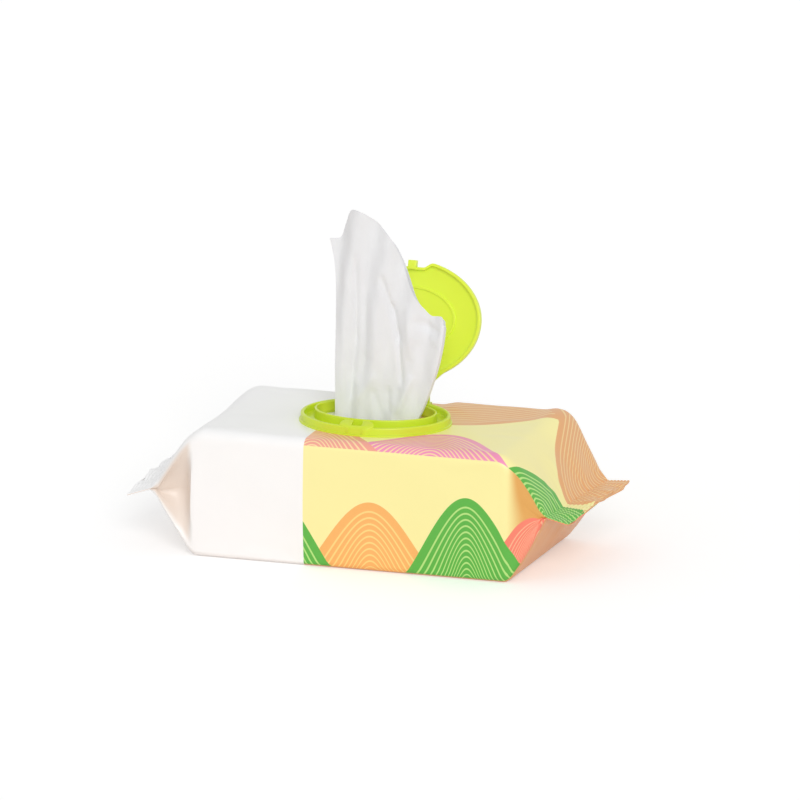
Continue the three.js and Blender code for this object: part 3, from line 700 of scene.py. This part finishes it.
def make_lid_frame():
    outer = [(FLANGE_PROUD, 0), *arc(FLANGE_PROUD, FLANGE_THICKNESS, FLANGE_ROUNDING, 0, 90)]
    outer += arc(0, FLANGE_THICKNESS, FLANGE_ROUNDING, 270, 180)
    outer += arc(0, RIM_HEIGHT, RIM_ROUNDING, 0, 90)
    outer += arc(-RIM_WIDTH, RIM_HEIGHT, RIM_ROUNDING, 90, 180)
    outer += arc(-RIM_WIDTH, CHANNEL_FLOOR, CHANNEL_FILLET, 0, -90)
    inner = arc(COLLAR_WALL, CHANNEL_FLOOR, CHANNEL_FILLET, 270, 180)
    inner += arc(COLLAR_WALL, COLLAR_HEIGHT, COLLAR_ROUNDING, 0, 90)
    inner += arc(0, COLLAR_HEIGHT, COLLAR_ROUNDING, 90, 180)
    inner += [(0, UNDERCUT_HEIGHT), (UNDERCUT_WIDTH, UNDERCUT_HEIGHT - UNDERCUT_SLANT)]
    inner += [(UNDERCUT_WIDTH, 0)]
    profile = [(FRAME_HALF_LENGTH + offset, FRAME_HALF_DEPTH + offset, z) for offset, z in outer]
    profile += [(COLLAR_HALF_LENGTH + offset, COLLAR_HALF_DEPTH + offset, z) for offset, z in inner]
    moulding = oval_ring("frame_moulding", profile)
    combine(moulding, make_latch_block(), "UNION")
    for part in make_hinge_base():
        combine(moulding, part, "UNION")
    moulding.data.transform(SEAT)
    shade(moulding, MOULDING_SHARP)
    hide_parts("lid_frame")
    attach(moulding, "pack")
    return moulding


def make_latch_block():
    """The block that takes the hook: a ramp that rises to the back, with its corners cut in plan."""
    front = -FRAME_HALF_DEPTH - LATCH_PROUD
    back = front + LATCH_DEPTH
    half = LATCH_WIDTH / 2
    profile = [
        (front, 0),
        (back, 0),
        (back, LATCH_HEIGHT),
        (front + RIM_ROUNDING, RIM_HEIGHT),
        (front, RIM_HEIGHT - RIM_ROUNDING),
    ]
    corner = arc(half, back, LATCH_BACK_ROUNDING, 0, 90)
    plan = [
        (LATCH_FACE_OFFSET - LATCH_FACE_WIDTH / 2, front),
        (LATCH_FACE_OFFSET + LATCH_FACE_WIDTH / 2, front),
        *corner,
        *[(-x, y) for x, y in reversed(corner)],
    ]
    latch = extruded_x("latch", profile, half)
    combine(latch, prism("latch_plan", plan, -1, LATCH_HEIGHT + 1), "INTERSECT")
    slot_half = HOOK_WIDTH / 2 + HOOK_CLEARANCE
    slot_front = -HOOK_ROOT - HOOK_REACH - LATCH_CLEARANCE
    slot_z = (LATCH_SLOT_FLOOR, LATCH_HEIGHT + CUT_OVER)
    recess_half = FINGER_RECESS_WIDTH / 2
    recess_back = front + FINGER_RECESS_DEPTH
    hole_half = CATCH_HOLE_WIDTH / 2
    hole_x = (CATCH_HOLE_OFFSET - hole_half, CATCH_HOLE_OFFSET + hole_half)
    hole_z = (FLANGE_THICKNESS + hole_half, FLANGE_THICKNESS + 2 * CATCH_HOLE_WIDTH)
    recess_z = (FLANGE_THICKNESS, FLANGE_THICKNESS + FINGER_RECESS_HEIGHT)
    cuts = [
        block("slot", (-slot_half, slot_half), (slot_front, back + 1), slot_z),
        block("recess", (-recess_half, recess_half), (front - 1, recess_back), recess_z),
        block("catch_hole", hole_x, (front, recess_back + FINGER_RECESS_DEPTH), hole_z),
    ]
    for cut in cuts:
        combine(latch, cut, "DIFFERENCE")
    return soften(latch)


def make_hinge_base():
    """The flange behind the ring, the block before the hinge, and the heel the open lid leans on."""
    half = HINGE_WIDTH / 2
    front = FRAME_HALF_DEPTH - RIM_WIDTH
    heel_front = HINGE_REACH + math.hypot(HINGE_GAP, NECK_THICKNESS + LID_GAP) + LID_GAP
    heel_back = heel_front + HEEL_THICKNESS
    flange_half = half + FLANGE_PROUD
    flange_y = (front, heel_back + FLANGE_PROUD)
    flange = block("flange", (-flange_half, flange_half), flange_y, (0, FLANGE_THICKNESS))
    block_z = (0, RIM_HEIGHT - LID_GAP / 2)
    hinge_block = block("hinge_block", (-half, half), (front, HINGE_REACH - HINGE_GAP), block_z)
    lean = math.tan(math.radians(LID_OPEN_DEGREES - 90)) * HEEL_RISE
    profile = [
        (heel_front, 0),
        (heel_back, 0),
        (heel_back, RIM_HEIGHT),
        (heel_back - lean, RIM_HEIGHT + HEEL_RISE),
        (heel_front + lean, RIM_HEIGHT + HEEL_RISE),
        (heel_front, RIM_HEIGHT),
    ]
    heel = extruded_x("heel", profile, half)
    return [soften(flange, 0.25), soften(hinge_block, 0.25), soften(heel, 0.3)]


# Lid


def make_lid():
    """The flip-top, built as it lies when shut and then turned to its open place."""
    top = LID_GAP + LID_HEIGHT
    ceiling = top - LID_PLATE
    outline = arc(0, LID_GAP, LID_LIP_ROUNDING, 270, 360)
    outline += arc(0, top, LID_EDGE_ROUNDING, 0, 90)
    for inset, rise in LID_CROWN_PROFILE:
        outline.append((-inset * FRAME_HALF_DEPTH, top + rise * LID_CROWN))
    puck = lofted("lid_moulding", [edge_oval(*point) for point in outline], MOULDING_SHARP)
    inside = [(-LID_WALL, LID_GAP - 1), *arc(-LID_WALL, ceiling, LID_INNER_FILLET, 0, 90)]
    cavity_rings = [edge_oval(*point) for point in inside]
    cavity = lofted("cavity", cavity_rings, MOULDING_SHARP)
    combine(cavity, notch("notch_wall", LID_WALL, top), "DIFFERENCE")
    combine(puck, notch("notch", 0, top), "DIFFERENCE")
    combine(puck, cavity, "DIFFERENCE")
    combine(puck, make_seal_ring(ceiling), "UNION")
    combine(puck, make_hook(), "UNION")
    neck = make_neck()
    combine(neck, lofted("neck_cavity", cavity_rings, MOULDING_SHARP), "DIFFERENCE")
    combine(puck, neck, "UNION")
    open_turn = Matrix.Rotation(-math.radians(LID_OPEN_DEGREES), 4, "X")
    hinge = SEAT @ Matrix.Translation(Vector((0, HINGE_REACH, RIM_HEIGHT)) * MM)
    puck.data.transform(hinge @ open_turn @ Matrix.Translation(Vector((0, -HINGE_REACH, 0)) * MM))
    shade(puck, MOULDING_SHARP)
    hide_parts("lid")
    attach(puck, "lid")
    return puck


def edge_oval(offset, z):
    """The lid's outline, moved out by an offset: its front half is shallower than its back half."""
    ring = oval(FRAME_HALF_LENGTH + offset, FRAME_HALF_DEPTH + offset, z)
    front_share = (LID_FRONT_HALF_DEPTH + offset) / (FRAME_HALF_DEPTH + offset)
    ring[:, 1] = np.where(ring[:, 1] < 0, ring[:, 1] * front_share, ring[:, 1])
    return ring


def make_seal_ring(ceiling):
    """The ring under the lid's plate that presses on the collar."""
    low = ceiling - SEAL_RING_DROP
    high = ceiling + LID_PLATE / 2
    section = [(0, high), *arc(0, low, SEAL_RING_ROUNDING, 0, -90)]
    section += arc(-SEAL_RING_WALL, low, SEAL_RING_ROUNDING, 270, 180)
    section += [(-SEAL_RING_WALL, high)]
    profile = [(SEAL_RING_HALF_LENGTH + o, SEAL_RING_HALF_DEPTH + o, z) for o, z in section]
    return oval_ring("seal_ring", profile)


def notch(name, grow, top):
    """The dip in the lid's front edge that clears the latch block, moved in by a wall when asked:
    deepest behind the block, and bending smoothly out to the lid's outline at either side."""
    share = np.linspace(1, 0, CURVE_POINTS)
    bend_x = NOTCH_FLAT + NOTCH_BEND * share
    outline_y = LID_FRONT_HALF_DEPTH * np.sqrt(1 - (bend_x / FRAME_HALF_LENGTH) ** 2)
    bend_y = grow - mix(HOOK_ROOT, outline_y, smooth(share))
    front = -FRAME_HALF_DEPTH - 1
    right = [(NOTCH_FLAT + NOTCH_BEND, front), *zip(bend_x, bend_y)]
    left = [(-x, y) for x, y in reversed(right)]
    return prism(name, right + left, -HOOK_DROP - 1, top + 1)


def make_hook():
    half = HOOK_WIDTH / 2
    hook_y = (-HOOK_ROOT - HOOK_REACH, -HOOK_ROOT + LID_WALL)
    return soften(block("hook", (-half, half), hook_y, (-HOOK_DROP, HOOK_RISE)), 0.4, 3)


def make_neck():
    """The plate between the lid's back edge and the hinge, flared where it meets the oval."""
    half = HINGE_WIDTH / 2
    flare_y = FRAME_HALF_DEPTH + NECK_FLARE_START * (HINGE_REACH - FRAME_HALF_DEPTH)
    root_y = FRAME_HALF_DEPTH * math.sqrt(1 - ((half + NECK_SPREAD) / FRAME_HALF_LENGTH) ** 2)
    start = np.array((half, flare_y))
    bend = np.array((half + NECK_BEND[0] * NECK_SPREAD, mix(root_y, flare_y, NECK_BEND[1])))
    end = np.array((half + NECK_SPREAD, root_y))
    right = [(half, HINGE_REACH - HINGE_GAP)]
    for share in np.linspace(0, 1, CURVE_POINTS):
        right.append(tuple(mix(mix(start, bend, share), mix(bend, end, share), share)))
    left = [(-x, y) for x, y in reversed(right)]
    return prism("neck", right + left, LID_GAP, LID_GAP + NECK_THICKNESS)


def make_hinge_web():
    """The thin living hinge across the gap between the frame's block and the lid's neck."""
    half = HINGE_WIDTH / 2
    across = np.linspace(-1, 1, 9)
    y = HINGE_REACH + (HINGE_GAP + WEB_OVERLAP) * across
    z = RIM_HEIGHT - WEB_DROP - WEB_SAG * (1 - across**2)
    profile = list(zip(y, z)) + list(zip(y[::-1], (z - WEB_THICKNESS)[::-1]))
    web = extruded_x("hinge_web", profile, half - WEB_INSET)
    web.data.transform(SEAT)
    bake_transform(web)
    return web


# Pulled wipe

# The sheet's upper edge, as shares of the flap's reach and of the sheet's height
WIPE_TOP_EDGE = [
    (-0.682, 0.859), (-0.545, 0.862), (-0.464, 0.927), (-0.364, 1), (-0.205, 0.995),
    (-0.057, 0.959), (0.105, 0.913), (0.225, 0.871), (0.295, 0.818), (0.373, 0.751),
    (0.507, 0.65), (0.677, 0.562), (0.795, 0.523), (0.97, 0.524), (1, 0.486),
]


def top_edge(share):
    """A point of the sheet's upper edge, which is a centripetal curve through its points."""
    points = np.array(WIPE_TOP_EDGE) * (WIPE_FLAP_REACH, WIPE_HEIGHT)
    place = np.clip(share, 0, 1) * (len(points) - 1)
    k = int(min(math.floor(place), len(points) - 2))
    t = place - k
    padded = [2 * points[0] - points[1], *points, 2 * points[-1] - points[-2]]
    before, p1, p2, after = padded[k : k + 4]
    d0, d1, d2 = (math.sqrt(math.dist(a, b)) for a, b in ((before, p1), (p1, p2), (p2, after)))
    m1 = ((p1 - before) / d0 - (p2 - before) / (d0 + d1) + (p2 - p1) / d1) * d1
    m2 = ((p2 - p1) / d1 - (after - p1) / (d1 + d2) + (after - p2) / d2) * d1
    return (
        (2 * t**3 - 3 * t**2 + 1) * p1
        + (t**3 - 2 * t**2 + t) * m1
        + (3 * t**2 - 2 * t**3) * p2
        + (t**3 - t**2) * m2
    )


def wipe_section():
    """Share of the fan, layer offset and fold bulge along the sheet's section."""
    section = [(share, -1.0, 0.0) for share in np.linspace(0, 1, num=110)]
    turn = np.linspace(-math.pi / 2, math.pi / 2, num=10)[1:-1]
    section += [(1.0, -0.5 + 0.5 * math.sin(angle), math.cos(angle)) for angle in turn]
    section += [(share, 0.0, 0.0) for share in np.linspace(1, WIPE_FOLD_SHARE, num=60)]
    section += [(WIPE_FOLD_SHARE, 0.5 + 0.5 * math.sin(angle), -math.cos(angle)) for angle in turn]
    last = np.linspace(WIPE_FOLD_SHARE, WIPE_LAST_SHARE, num=60)
    section += [(share, 1.0, 0.0) for share in last]
    return section


# Creases of the wipe's front layer: start and end as (x, height) from the opening, half width
# and height, where a negative height is a valley
WIPE_CREASES = [
    ((-12.5, 106), (-12, 48), 1.8, -3.2),
    ((-12, 58), (-16, 4), 2.4, -3.0),
    ((-19, 104), (-19, 8), 3.2, 1.6),
    ((4, 93), (12, 66), 1.8, -3.4),
    ((10, 76), (16, 50), 2.2, -3.2),
    ((14.5, 60), (18, 24), 1.9, -3.4),
    ((-1, 86), (3, 20), 4.5, 2.0),
    ((-6, 94), (-6, 30), 2.6, -1.4),
    ((-15, 8), (2, 32), 3.0, 2.0),
    ((-12, 26), (-3, 44), 3.5, -1.8),
    ((15, 6), (25, 32), 2.2, 2.4),
    ((12, 14), (27, 54), 4.0, -2.6),
    ((24, 66), (42, 58), 3.2, -2.4),
    ((21, 76), (24, 40), 2.6, 1.8),
    ((4, 132), (24, 96), 13, -2.5),
    ((0, 22), (4, 3), 2.0, -1.8),
    ((9, 24), (10, 3), 2.0, -1.8),
    ((34, 74), (38, 50), 2.4, 1.6),
]


def make_wipe():
    shares, layers, bulges = np.array(wipe_section()).T
    edge = np.array([top_edge(share) for share in shares])
    foot = mix(-WIPE_GATHER_HALF_WIDTH, WIPE_GATHER_HALF_WIDTH, shares)
    rises = [(0, height) for height in WIPE_FOOT_HEIGHTS]
    rises += [(rise, BODY_HEIGHT) for rise in np.linspace(0, 1, num=76)]
    rows = []
    for rise, base in rises:
        upright = rise**WIPE_UPRIGHT_POWER
        spreading = 1 - (1 - rise) ** WIPE_SPREAD_POWER
        spread = mix(upright, spreading, np.clip(WIPE_SPREAD_RATE * shares, 0, 1))
        x = mix(foot, edge[:, 0], spread) + bulges * WIPE_FOLD_BULGE
        x = x + WIPE_SIDE_TUCK * np.clip(1 - WIPE_TUCK_RATE * shares, 0, 1) * (1 - rise**4)
        height = rise * (edge[:, 1] - WIPE_LAYER_DROP * (layers + 1))
        phase = 2 * np.pi * (x - WIPE_WAVE_SLANT * height) / WIPE_WAVE_PITCH
        wave = WIPE_WAVE * np.sin(phase) * (0.6 + 0.8 * rise)
        free = np.clip((rise - 0.02) / 0.1, 0, 1)
        crease = sum(ridge(x, height, *line, flatness=4) for line in WIPE_CREASES)
        crinkle = WIPE_CRINKLE * np.sin(x / 2.1 + height / 17 + layers) * np.sin(height / 9 + x / 7)
        crease = crease + crinkle
        gather = WIPE_GATHER_RIPPLE * np.exp(-rise / WIPE_GATHER_FADE) * np.sin(x / 1.7 + 2 * layers)
        y = layers * WIPE_LAYER_PITCH + wave + WIPE_LEAN * rise**2
        y = y - WIPE_CREASE_SHARE * free * crease + gather
        rows.append(np.stack([OPENING_X + x, OPENING_Y + y, base + height], axis=1))
    rows = np.array(rows)
    count = rows.shape[1]
    faces = grid_faces(rows.shape[0], count)
    wipe = mesh_object("wipe_cloth", rows.reshape(-1, 3), faces)
    thicken = wipe.modifiers.new("thicken", "SOLIDIFY")
    thicken.thickness = WIPE_THICKNESS * MM
    thicken.offset = 0
    apply_modifiers(wipe)
    shade(wipe, sharp_degrees=50)
    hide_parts("pulled_wipe")
    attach(wipe, "pack")
    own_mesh(wipe)
    return wipe


# Materials


def linear(red, green, blue):
    """A colour given as 0 to 255 screen values, as the shader takes it."""
    shares = [value / 255 for value in (red, green, blue)]
    values = [s / 12.92 if s <= 0.04045 else ((s + 0.055) / 1.055) ** 2.4 for s in shares]
    return (*values, 1.0)


class Graph:
    """Writes the nodes of a material or a world as plain expressions."""

    def __init__(self, owner, settings, shader="Principled BSDF"):
        """The settings are the same all over the surface."""
        owner.use_nodes = True
        self.owner = owner
        self.tree = owner.node_tree
        self.shader = self.tree.nodes[shader]
        for key, value in settings.items():
            self.shader.inputs[key].default_value = value

    def node(self, kind, inputs=None, **settings):
        made = self.tree.nodes.new(kind)
        for key, value in settings.items():
            setattr(made, key, value)
        for key, value in (inputs or {}).items():
            self.feed(made.inputs[key], value)
        return made

    def feed(self, socket, value):
        if isinstance(value, bpy.types.NodeSocket):
            self.tree.links.new(value, socket)
        else:
            socket.default_value = value

    def math(self, operation, *values):
        made = self.tree.nodes.new("ShaderNodeMath")
        made.operation = operation
        for socket, value in zip(made.inputs, values):
            self.feed(socket, value)
        return made.outputs[0]

    def step(self, low, high, value):
        """0 below low, 1 above high, smooth between them."""
        made = self.node("ShaderNodeMapRange", {"Value": value, "From Min": low, "From Max": high})
        made.interpolation_type = "SMOOTHSTEP"
        return made.outputs["Result"]

    def mix(self, factor, first, second):
        made = self.node("ShaderNodeMix", data_type="RGBA")
        self.feed(made.inputs[0], factor)
        self.feed(made.inputs[6], first)
        self.feed(made.inputs[7], second)
        return made.outputs[2]

    def noise(self, scale, detail=2.0, vector=None):
        vector = self.position() if vector is None else vector
        inputs = {"Vector": vector, "Scale": scale, "Detail": detail}
        return self.node("ShaderNodeTexNoise", inputs).outputs["Fac"]

    def colour(self, value):
        self.feed(self.shader.inputs["Base Color"], value)

    def bump(self, height, distance, strength=1.0):
        inputs = {"Height": height, "Distance": distance * MM, "Strength": strength}
        self.feed(self.shader.inputs["Normal"], self.node("ShaderNodeBump", inputs).outputs["Normal"])

    def position(self):
        return self.node("ShaderNodeTexCoord").outputs["Object"]


WHITE = linear(254, 254, 254)
# Painted shade: a warm grey on the white film where the tucked left gusset lies in shade
GUSSET_PAINTED_SHADE = linear(236, 223, 212)
YELLOW = linear(255, 246, 172)
# Amber on the right gusset: partly the print, partly painted shade
AMBER_PRINT_AND_SHADE = linear(230, 172, 92)
ORANGE = linear(253, 187, 108)
ORANGE_LINE = linear(255, 220, 138)
GREEN = linear(94, 184, 72)
GREEN_LINE = linear(186, 232, 134)
CORAL = linear(250, 134, 112)
CORAL_LINE = linear(255, 190, 150)
PINK = linear(245, 150, 190)
PINK_LINE = linear(255, 222, 170)
SALMON = linear(246, 168, 150)
TAN = linear(236, 176, 118)
TAN_LINE = linear(246, 212, 150)


# The print's hills: centre in u, half width, base and height, then the colours of the hill and of
# its lines. The front's rise in v, and the top's rise from its front edge or its back edge.
FRONT_HILLS = [
    ((134, 76, -12, 66), CORAL, CORAL_LINE),
    ((14, 62, -14, 58), ORANGE, ORANGE_LINE),
    ((76, 56, -12, 64), GREEN, GREEN_LINE),
    ((-44, 46, -10, 50), GREEN, GREEN_LINE),
]
TOP_FRONT_HILLS = [
    ((52, 68, -8, 50), PINK, PINK_LINE),
    ((-24, 56, -6, 44), SALMON, PINK_LINE),
    ((150, 60, -4, 42), GREEN, GREEN_LINE),
]
TOP_BACK_HILLS = [
    ((36, 130, 14, 64), TAN, TAN_LINE),
    ((146, 78, 14, 84), TAN, TAN_LINE),
]
LINE_PITCH = 3.9
CLOSE_LINE_PITCH = 3.2
LINE_WIDTH = 1.15
FIRST_LINE = 3.2
PRINT_SOFTNESS = 0.12

# The v of the top print's front and back edges
PRINT_FRONT_V = 77.0
PRINT_BACK_V = 220.0

# The u or v over which one field of the print gives way to the next, and where the painted shade on the
# left gusset begins and ends
# Past this u the front's yellow turns amber, which is partly print and partly painted shade on the
# right gusset
AMBER_PRINT_AND_SHADE_FROM_U = (100.0, 112.0)
WHITE_FROM_U = (-29.4, -29.6)
BACK_FROM_V = (219.8, 220.1)
UNDER_FROM_V = (0.2, -0.2)
# Bounds of the painted shade on the left gusset
GUSSET_SHADE_FROM_U = (-101.0, -108.0)
GUSSET_SHADE_FROM_V = (2.0, 12.0)
GUSSET_SHADE_TO_V = (79.0, 73.0)


def hill(graph, u, v, centre, half_width, base, height):
    """A rounded hill on the print: its mask, and the distance below its crest line."""
    turn = graph.math("DIVIDE", graph.math("SUBTRACT", u, centre), half_width)
    turn = graph.math("MAXIMUM", graph.math("MINIMUM", turn, 1.0), -1.0)
    angle = graph.math("MULTIPLY", turn, math.pi)
    lift = graph.math("MULTIPLY_ADD", graph.math("COSINE", angle), height / 2, base + height / 2)
    steep = graph.math("MULTIPLY", graph.math("SINE", angle), height / 2 * math.pi / half_width)
    length = graph.math("SQRT", graph.math("MULTIPLY_ADD", steep, steep, 1.0))
    depth = graph.math("DIVIDE", graph.math("SUBTRACT", lift, v), length)
    return graph.step(-PRINT_SOFTNESS, PRINT_SOFTNESS, depth), depth


def contour_lines(graph, depth, pitch):
    """Thin lines that repeat below a crest."""
    cycle = graph.math("MULTIPLY", graph.math("FRACT", graph.math("DIVIDE", depth, pitch)), pitch)
    from_middle = graph.math("ABSOLUTE", graph.math("SUBTRACT", cycle, pitch / 2))
    half = LINE_WIDTH / 2
    line = graph.step(half + PRINT_SOFTNESS, half - PRINT_SOFTNESS, from_middle)
    return graph.math("MULTIPLY", line, graph.math("GREATER_THAN", depth, FIRST_LINE))


def paint_hills(graph, ground, u, v, hills, pitch):
    """The ground's colour with hills painted on it, the last one in front."""
    for place, hill_colour, line_colour in hills:
        mask, depth = hill(graph, u, v, *place)
        lines = contour_lines(graph, depth, pitch)
        ground = graph.mix(mask, ground, graph.mix(lines, hill_colour, line_colour))
    return ground


def film_material():
    settings = {"Roughness": 0.36, "Specular IOR Level": 0.45}
    graph = Graph(bpy.data.materials.new("printed_film"), settings)
    place = graph.node("ShaderNodeAttribute", attribute_name="film_place").outputs["Vector"]
    parts = graph.node("ShaderNodeSeparateXYZ", {"Vector": place})
    u, v = parts.outputs["X"], parts.outputs["Y"]

    # The right gusset's amber is partly print and partly painted shade
    front = graph.mix(graph.step(*AMBER_PRINT_AND_SHADE_FROM_U, u), YELLOW, AMBER_PRINT_AND_SHADE)
    front = paint_hills(graph, front, u, v, FRONT_HILLS, LINE_PITCH)
    from_front = graph.math("SUBTRACT", v, PRINT_FRONT_V)
    from_back = graph.math("SUBTRACT", PRINT_BACK_V, v)
    top = paint_hills(graph, YELLOW, u, from_front, TOP_FRONT_HILLS, CLOSE_LINE_PITCH)
    top = paint_hills(graph, top, u, from_back, TOP_BACK_HILLS, LINE_PITCH)
    printed = graph.mix(graph.step(-PRINT_SOFTNESS, PRINT_SOFTNESS, from_front), front, top)
    printed = graph.mix(graph.step(*BACK_FROM_V, v), printed, TAN)
    printed = graph.mix(graph.step(*UNDER_FROM_V, v), printed, TAN)

    # Painted shade: the left gusset's white is darkened to a warm grey
    gusset_shade = graph.math("MULTIPLY", graph.step(*GUSSET_SHADE_FROM_V, v), graph.step(*GUSSET_SHADE_TO_V, v))
    gusset_shade = graph.math("MULTIPLY", gusset_shade, graph.step(*GUSSET_SHADE_FROM_U, u))
    white = graph.mix(gusset_shade, WHITE, GUSSET_PAINTED_SHADE)
    graph.colour(graph.mix(graph.step(*WHITE_FROM_U, u), printed, white))
    height = graph.math("MULTIPLY_ADD", graph.noise(160.0, 3.0), 0.25, graph.noise(45.0))
    graph.bump(height, 0.25, 0.6)
    return graph.owner


def plastic_material(name, deep, light):
    settings = {"Roughness": 0.33, "Subsurface Weight": 0.12, "Subsurface Scale": 0.4}
    settings["Subsurface Radius"] = (0.004, 0.006, 0.0015)
    graph = Graph(bpy.data.materials.new(name), settings)
    graph.colour(graph.mix(graph.noise(22.0), deep, light))
    graph.bump(graph.noise(900.0), 0.02, 0.5)
    return graph.owner


def nonwoven_material():
    settings = {"Roughness": 0.85, "Sheen Weight": 0.2, "Specular IOR Level": 0.25}
    settings.update({"Subsurface Weight": 0.25, "Subsurface Radius": (0.003, 0.003, 0.003)})
    graph = Graph(bpy.data.materials.new("nonwoven_cloth"), settings)
    position = graph.position()
    stretched = graph.node("ShaderNodeMapping", {"Vector": position, "Scale": (1.0, 1.0, 0.35)})
    fibres = graph.noise(1500.0, 3.0, stretched.outputs["Vector"])
    cells = graph.node("ShaderNodeTexVoronoi", {"Vector": position, "Scale": 620.0})
    graph.colour(graph.mix(graph.noise(70.0, 3.0), linear(230, 232, 235), linear(238, 240, 242)))
    height = graph.math("MULTIPLY_ADD", cells.outputs["Distance"], 0.5, fibres)
    graph.bump(height, 0.12, 0.5)
    return graph.owner


# The pitch of the stack's folded sheets, in metres
STACK_SHEET_PITCH = 0.0016


def stack_material():
    settings = {"Roughness": 0.9, "Sheen Weight": 0.15}
    graph = Graph(bpy.data.materials.new("stacked_cloth"), settings)
    height = graph.node("ShaderNodeSeparateXYZ", {"Vector": graph.position()}).outputs["Z"]
    sheets = graph.math("SINE", graph.math("MULTIPLY", height, 2 * math.pi / STACK_SHEET_PITCH))
    # The darker bands between the sheets are painted shade in the gaps between them
    graph.colour(graph.mix(graph.step(-1.0, 0.2, sheets), linear(214, 214, 212), linear(240, 240, 239)))
    graph.bump(graph.math("MULTIPLY_ADD", graph.noise(900.0, 3.0), 0.4, sheets), 0.25, 0.6)
    return graph.owner


def dress(piece, material):
    piece.data.materials.clear()
    piece.data.materials.append(material)


# Studio

FLOOR_SIZE = 8.0
FLOOR_GLOW = 0.3
FLOOR_SEEN = (0.9, 0.9, 0.9, 1.0)
FLOOR_BOUNCE = (0.88, 0.79, 0.73, 1.0)
WORLD_LEVEL = 0.6

# The key lamp's place and angular size in degrees. Azimuth 0 is the front, and positive turns right.
KEY_AZIMUTH = 26
KEY_ELEVATION = 26
KEY_SIZE = 28
KEY_STRENGTH = 1.27


def make_floor():
    half = FLOOR_SIZE / 2
    mesh = bpy.data.meshes.new("floor")
    corners = [(-half, -half, 0), (half, -half, 0), (half, half, 0), (-half, half, 0)]
    mesh.from_pydata(corners, [], [(0, 1, 2, 3)])
    floor = add_object("floor", mesh)
    settings = {"Roughness": 0.9, "Emission Color": (1.0, 1.0, 1.0, 1.0)}
    graph = Graph(bpy.data.materials.new("pale_floor"), settings)
    rays = graph.node("ShaderNodeLightPath").outputs
    seen = graph.math("MAXIMUM", rays["Is Camera Ray"], rays["Is Glossy Ray"])
    seen = graph.math("MAXIMUM", seen, rays["Is Transmission Ray"])
    graph.colour(graph.mix(seen, FLOOR_BOUNCE, FLOOR_SEEN))
    graph.feed(graph.shader.inputs["Emission Strength"], graph.math("MULTIPLY", seen, FLOOR_GLOW))
    dress(floor, graph.owner)


def make_world():
    world = bpy.data.worlds.new("studio")
    bpy.context.scene.world = world
    graph = Graph(world, {"Color": (1.0, 1.0, 1.0, 1.0)}, "Background")
    rays = graph.node("ShaderNodeLightPath").outputs
    seen = graph.math("MAXIMUM", rays["Is Camera Ray"], rays["Is Glossy Ray"])
    level = graph.node("ShaderNodeMapRange", {"Value": seen, "To Min": WORLD_LEVEL, "To Max": 1.0})
    graph.feed(graph.shader.inputs["Strength"], level.outputs["Result"])


def make_key_lamp():
    data = bpy.data.lights.new("key", "SUN")
    data.angle = math.radians(KEY_SIZE)
    data.energy = KEY_STRENGTH
    azimuth = math.radians(KEY_AZIMUTH)
    elevation = math.radians(KEY_ELEVATION)
    flat = math.cos(elevation)
    towards = Vector((math.sin(azimuth) * flat, -math.cos(azimuth) * flat, math.sin(elevation)))
    add_object("key", data).rotation_euler = towards.to_track_quat("Z", "Y").to_euler()


def make_camera():
    data = bpy.data.cameras.new("camera")
    data.sensor_width = SENSOR_WIDTH
    data.lens = SENSOR_WIDTH * VIEW_DISTANCE / VIEW_WIDTH
    data.clip_start = 0.1
    data.clip_end = 3 * VIEW_DISTANCE
    camera = add_object("camera", data)
    a, e = VIEW_AZIMUTH, VIEW_ELEVATION
    right = Vector((math.cos(a), math.sin(a), 0))
    up = Vector((-math.sin(a) * math.sin(e), math.cos(a) * math.sin(e), math.cos(e)))
    back = right.cross(up)
    target = right * VIEW_TARGET_RIGHT + up * VIEW_TARGET_UP
    camera.location = target + back * VIEW_DISTANCE
    camera.rotation_euler = back.to_track_quat("Z", "Y").to_euler()
    bpy.context.scene.camera = camera


def build():
    make_camera()
    film = make_film()
    lid_frame = make_lid_frame()
    lid = make_lid()
    web = make_hinge_web()
    wipe = make_wipe()
    dress(film, film_material())
    # The frame and the lid are one lime plastic. The frame's darker copy of it is painted shade.
    dress(lid_frame, plastic_material("painted_shade_lime_plastic", linear(208, 227, 46), linear(215, 234, 58)))
    lid_plastic = plastic_material("plain_lime_plastic", linear(226, 247, 64), linear(234, 252, 80))
    for piece in (lid, web):
        dress(piece, lid_plastic)
    dress(wipe, nonwoven_material())
    dress(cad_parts["wipe_stack"], stack_material())
    make_floor()
    make_world()
    make_key_lamp()
    bpy.context.scene.view_settings.view_transform = "Standard"


build()
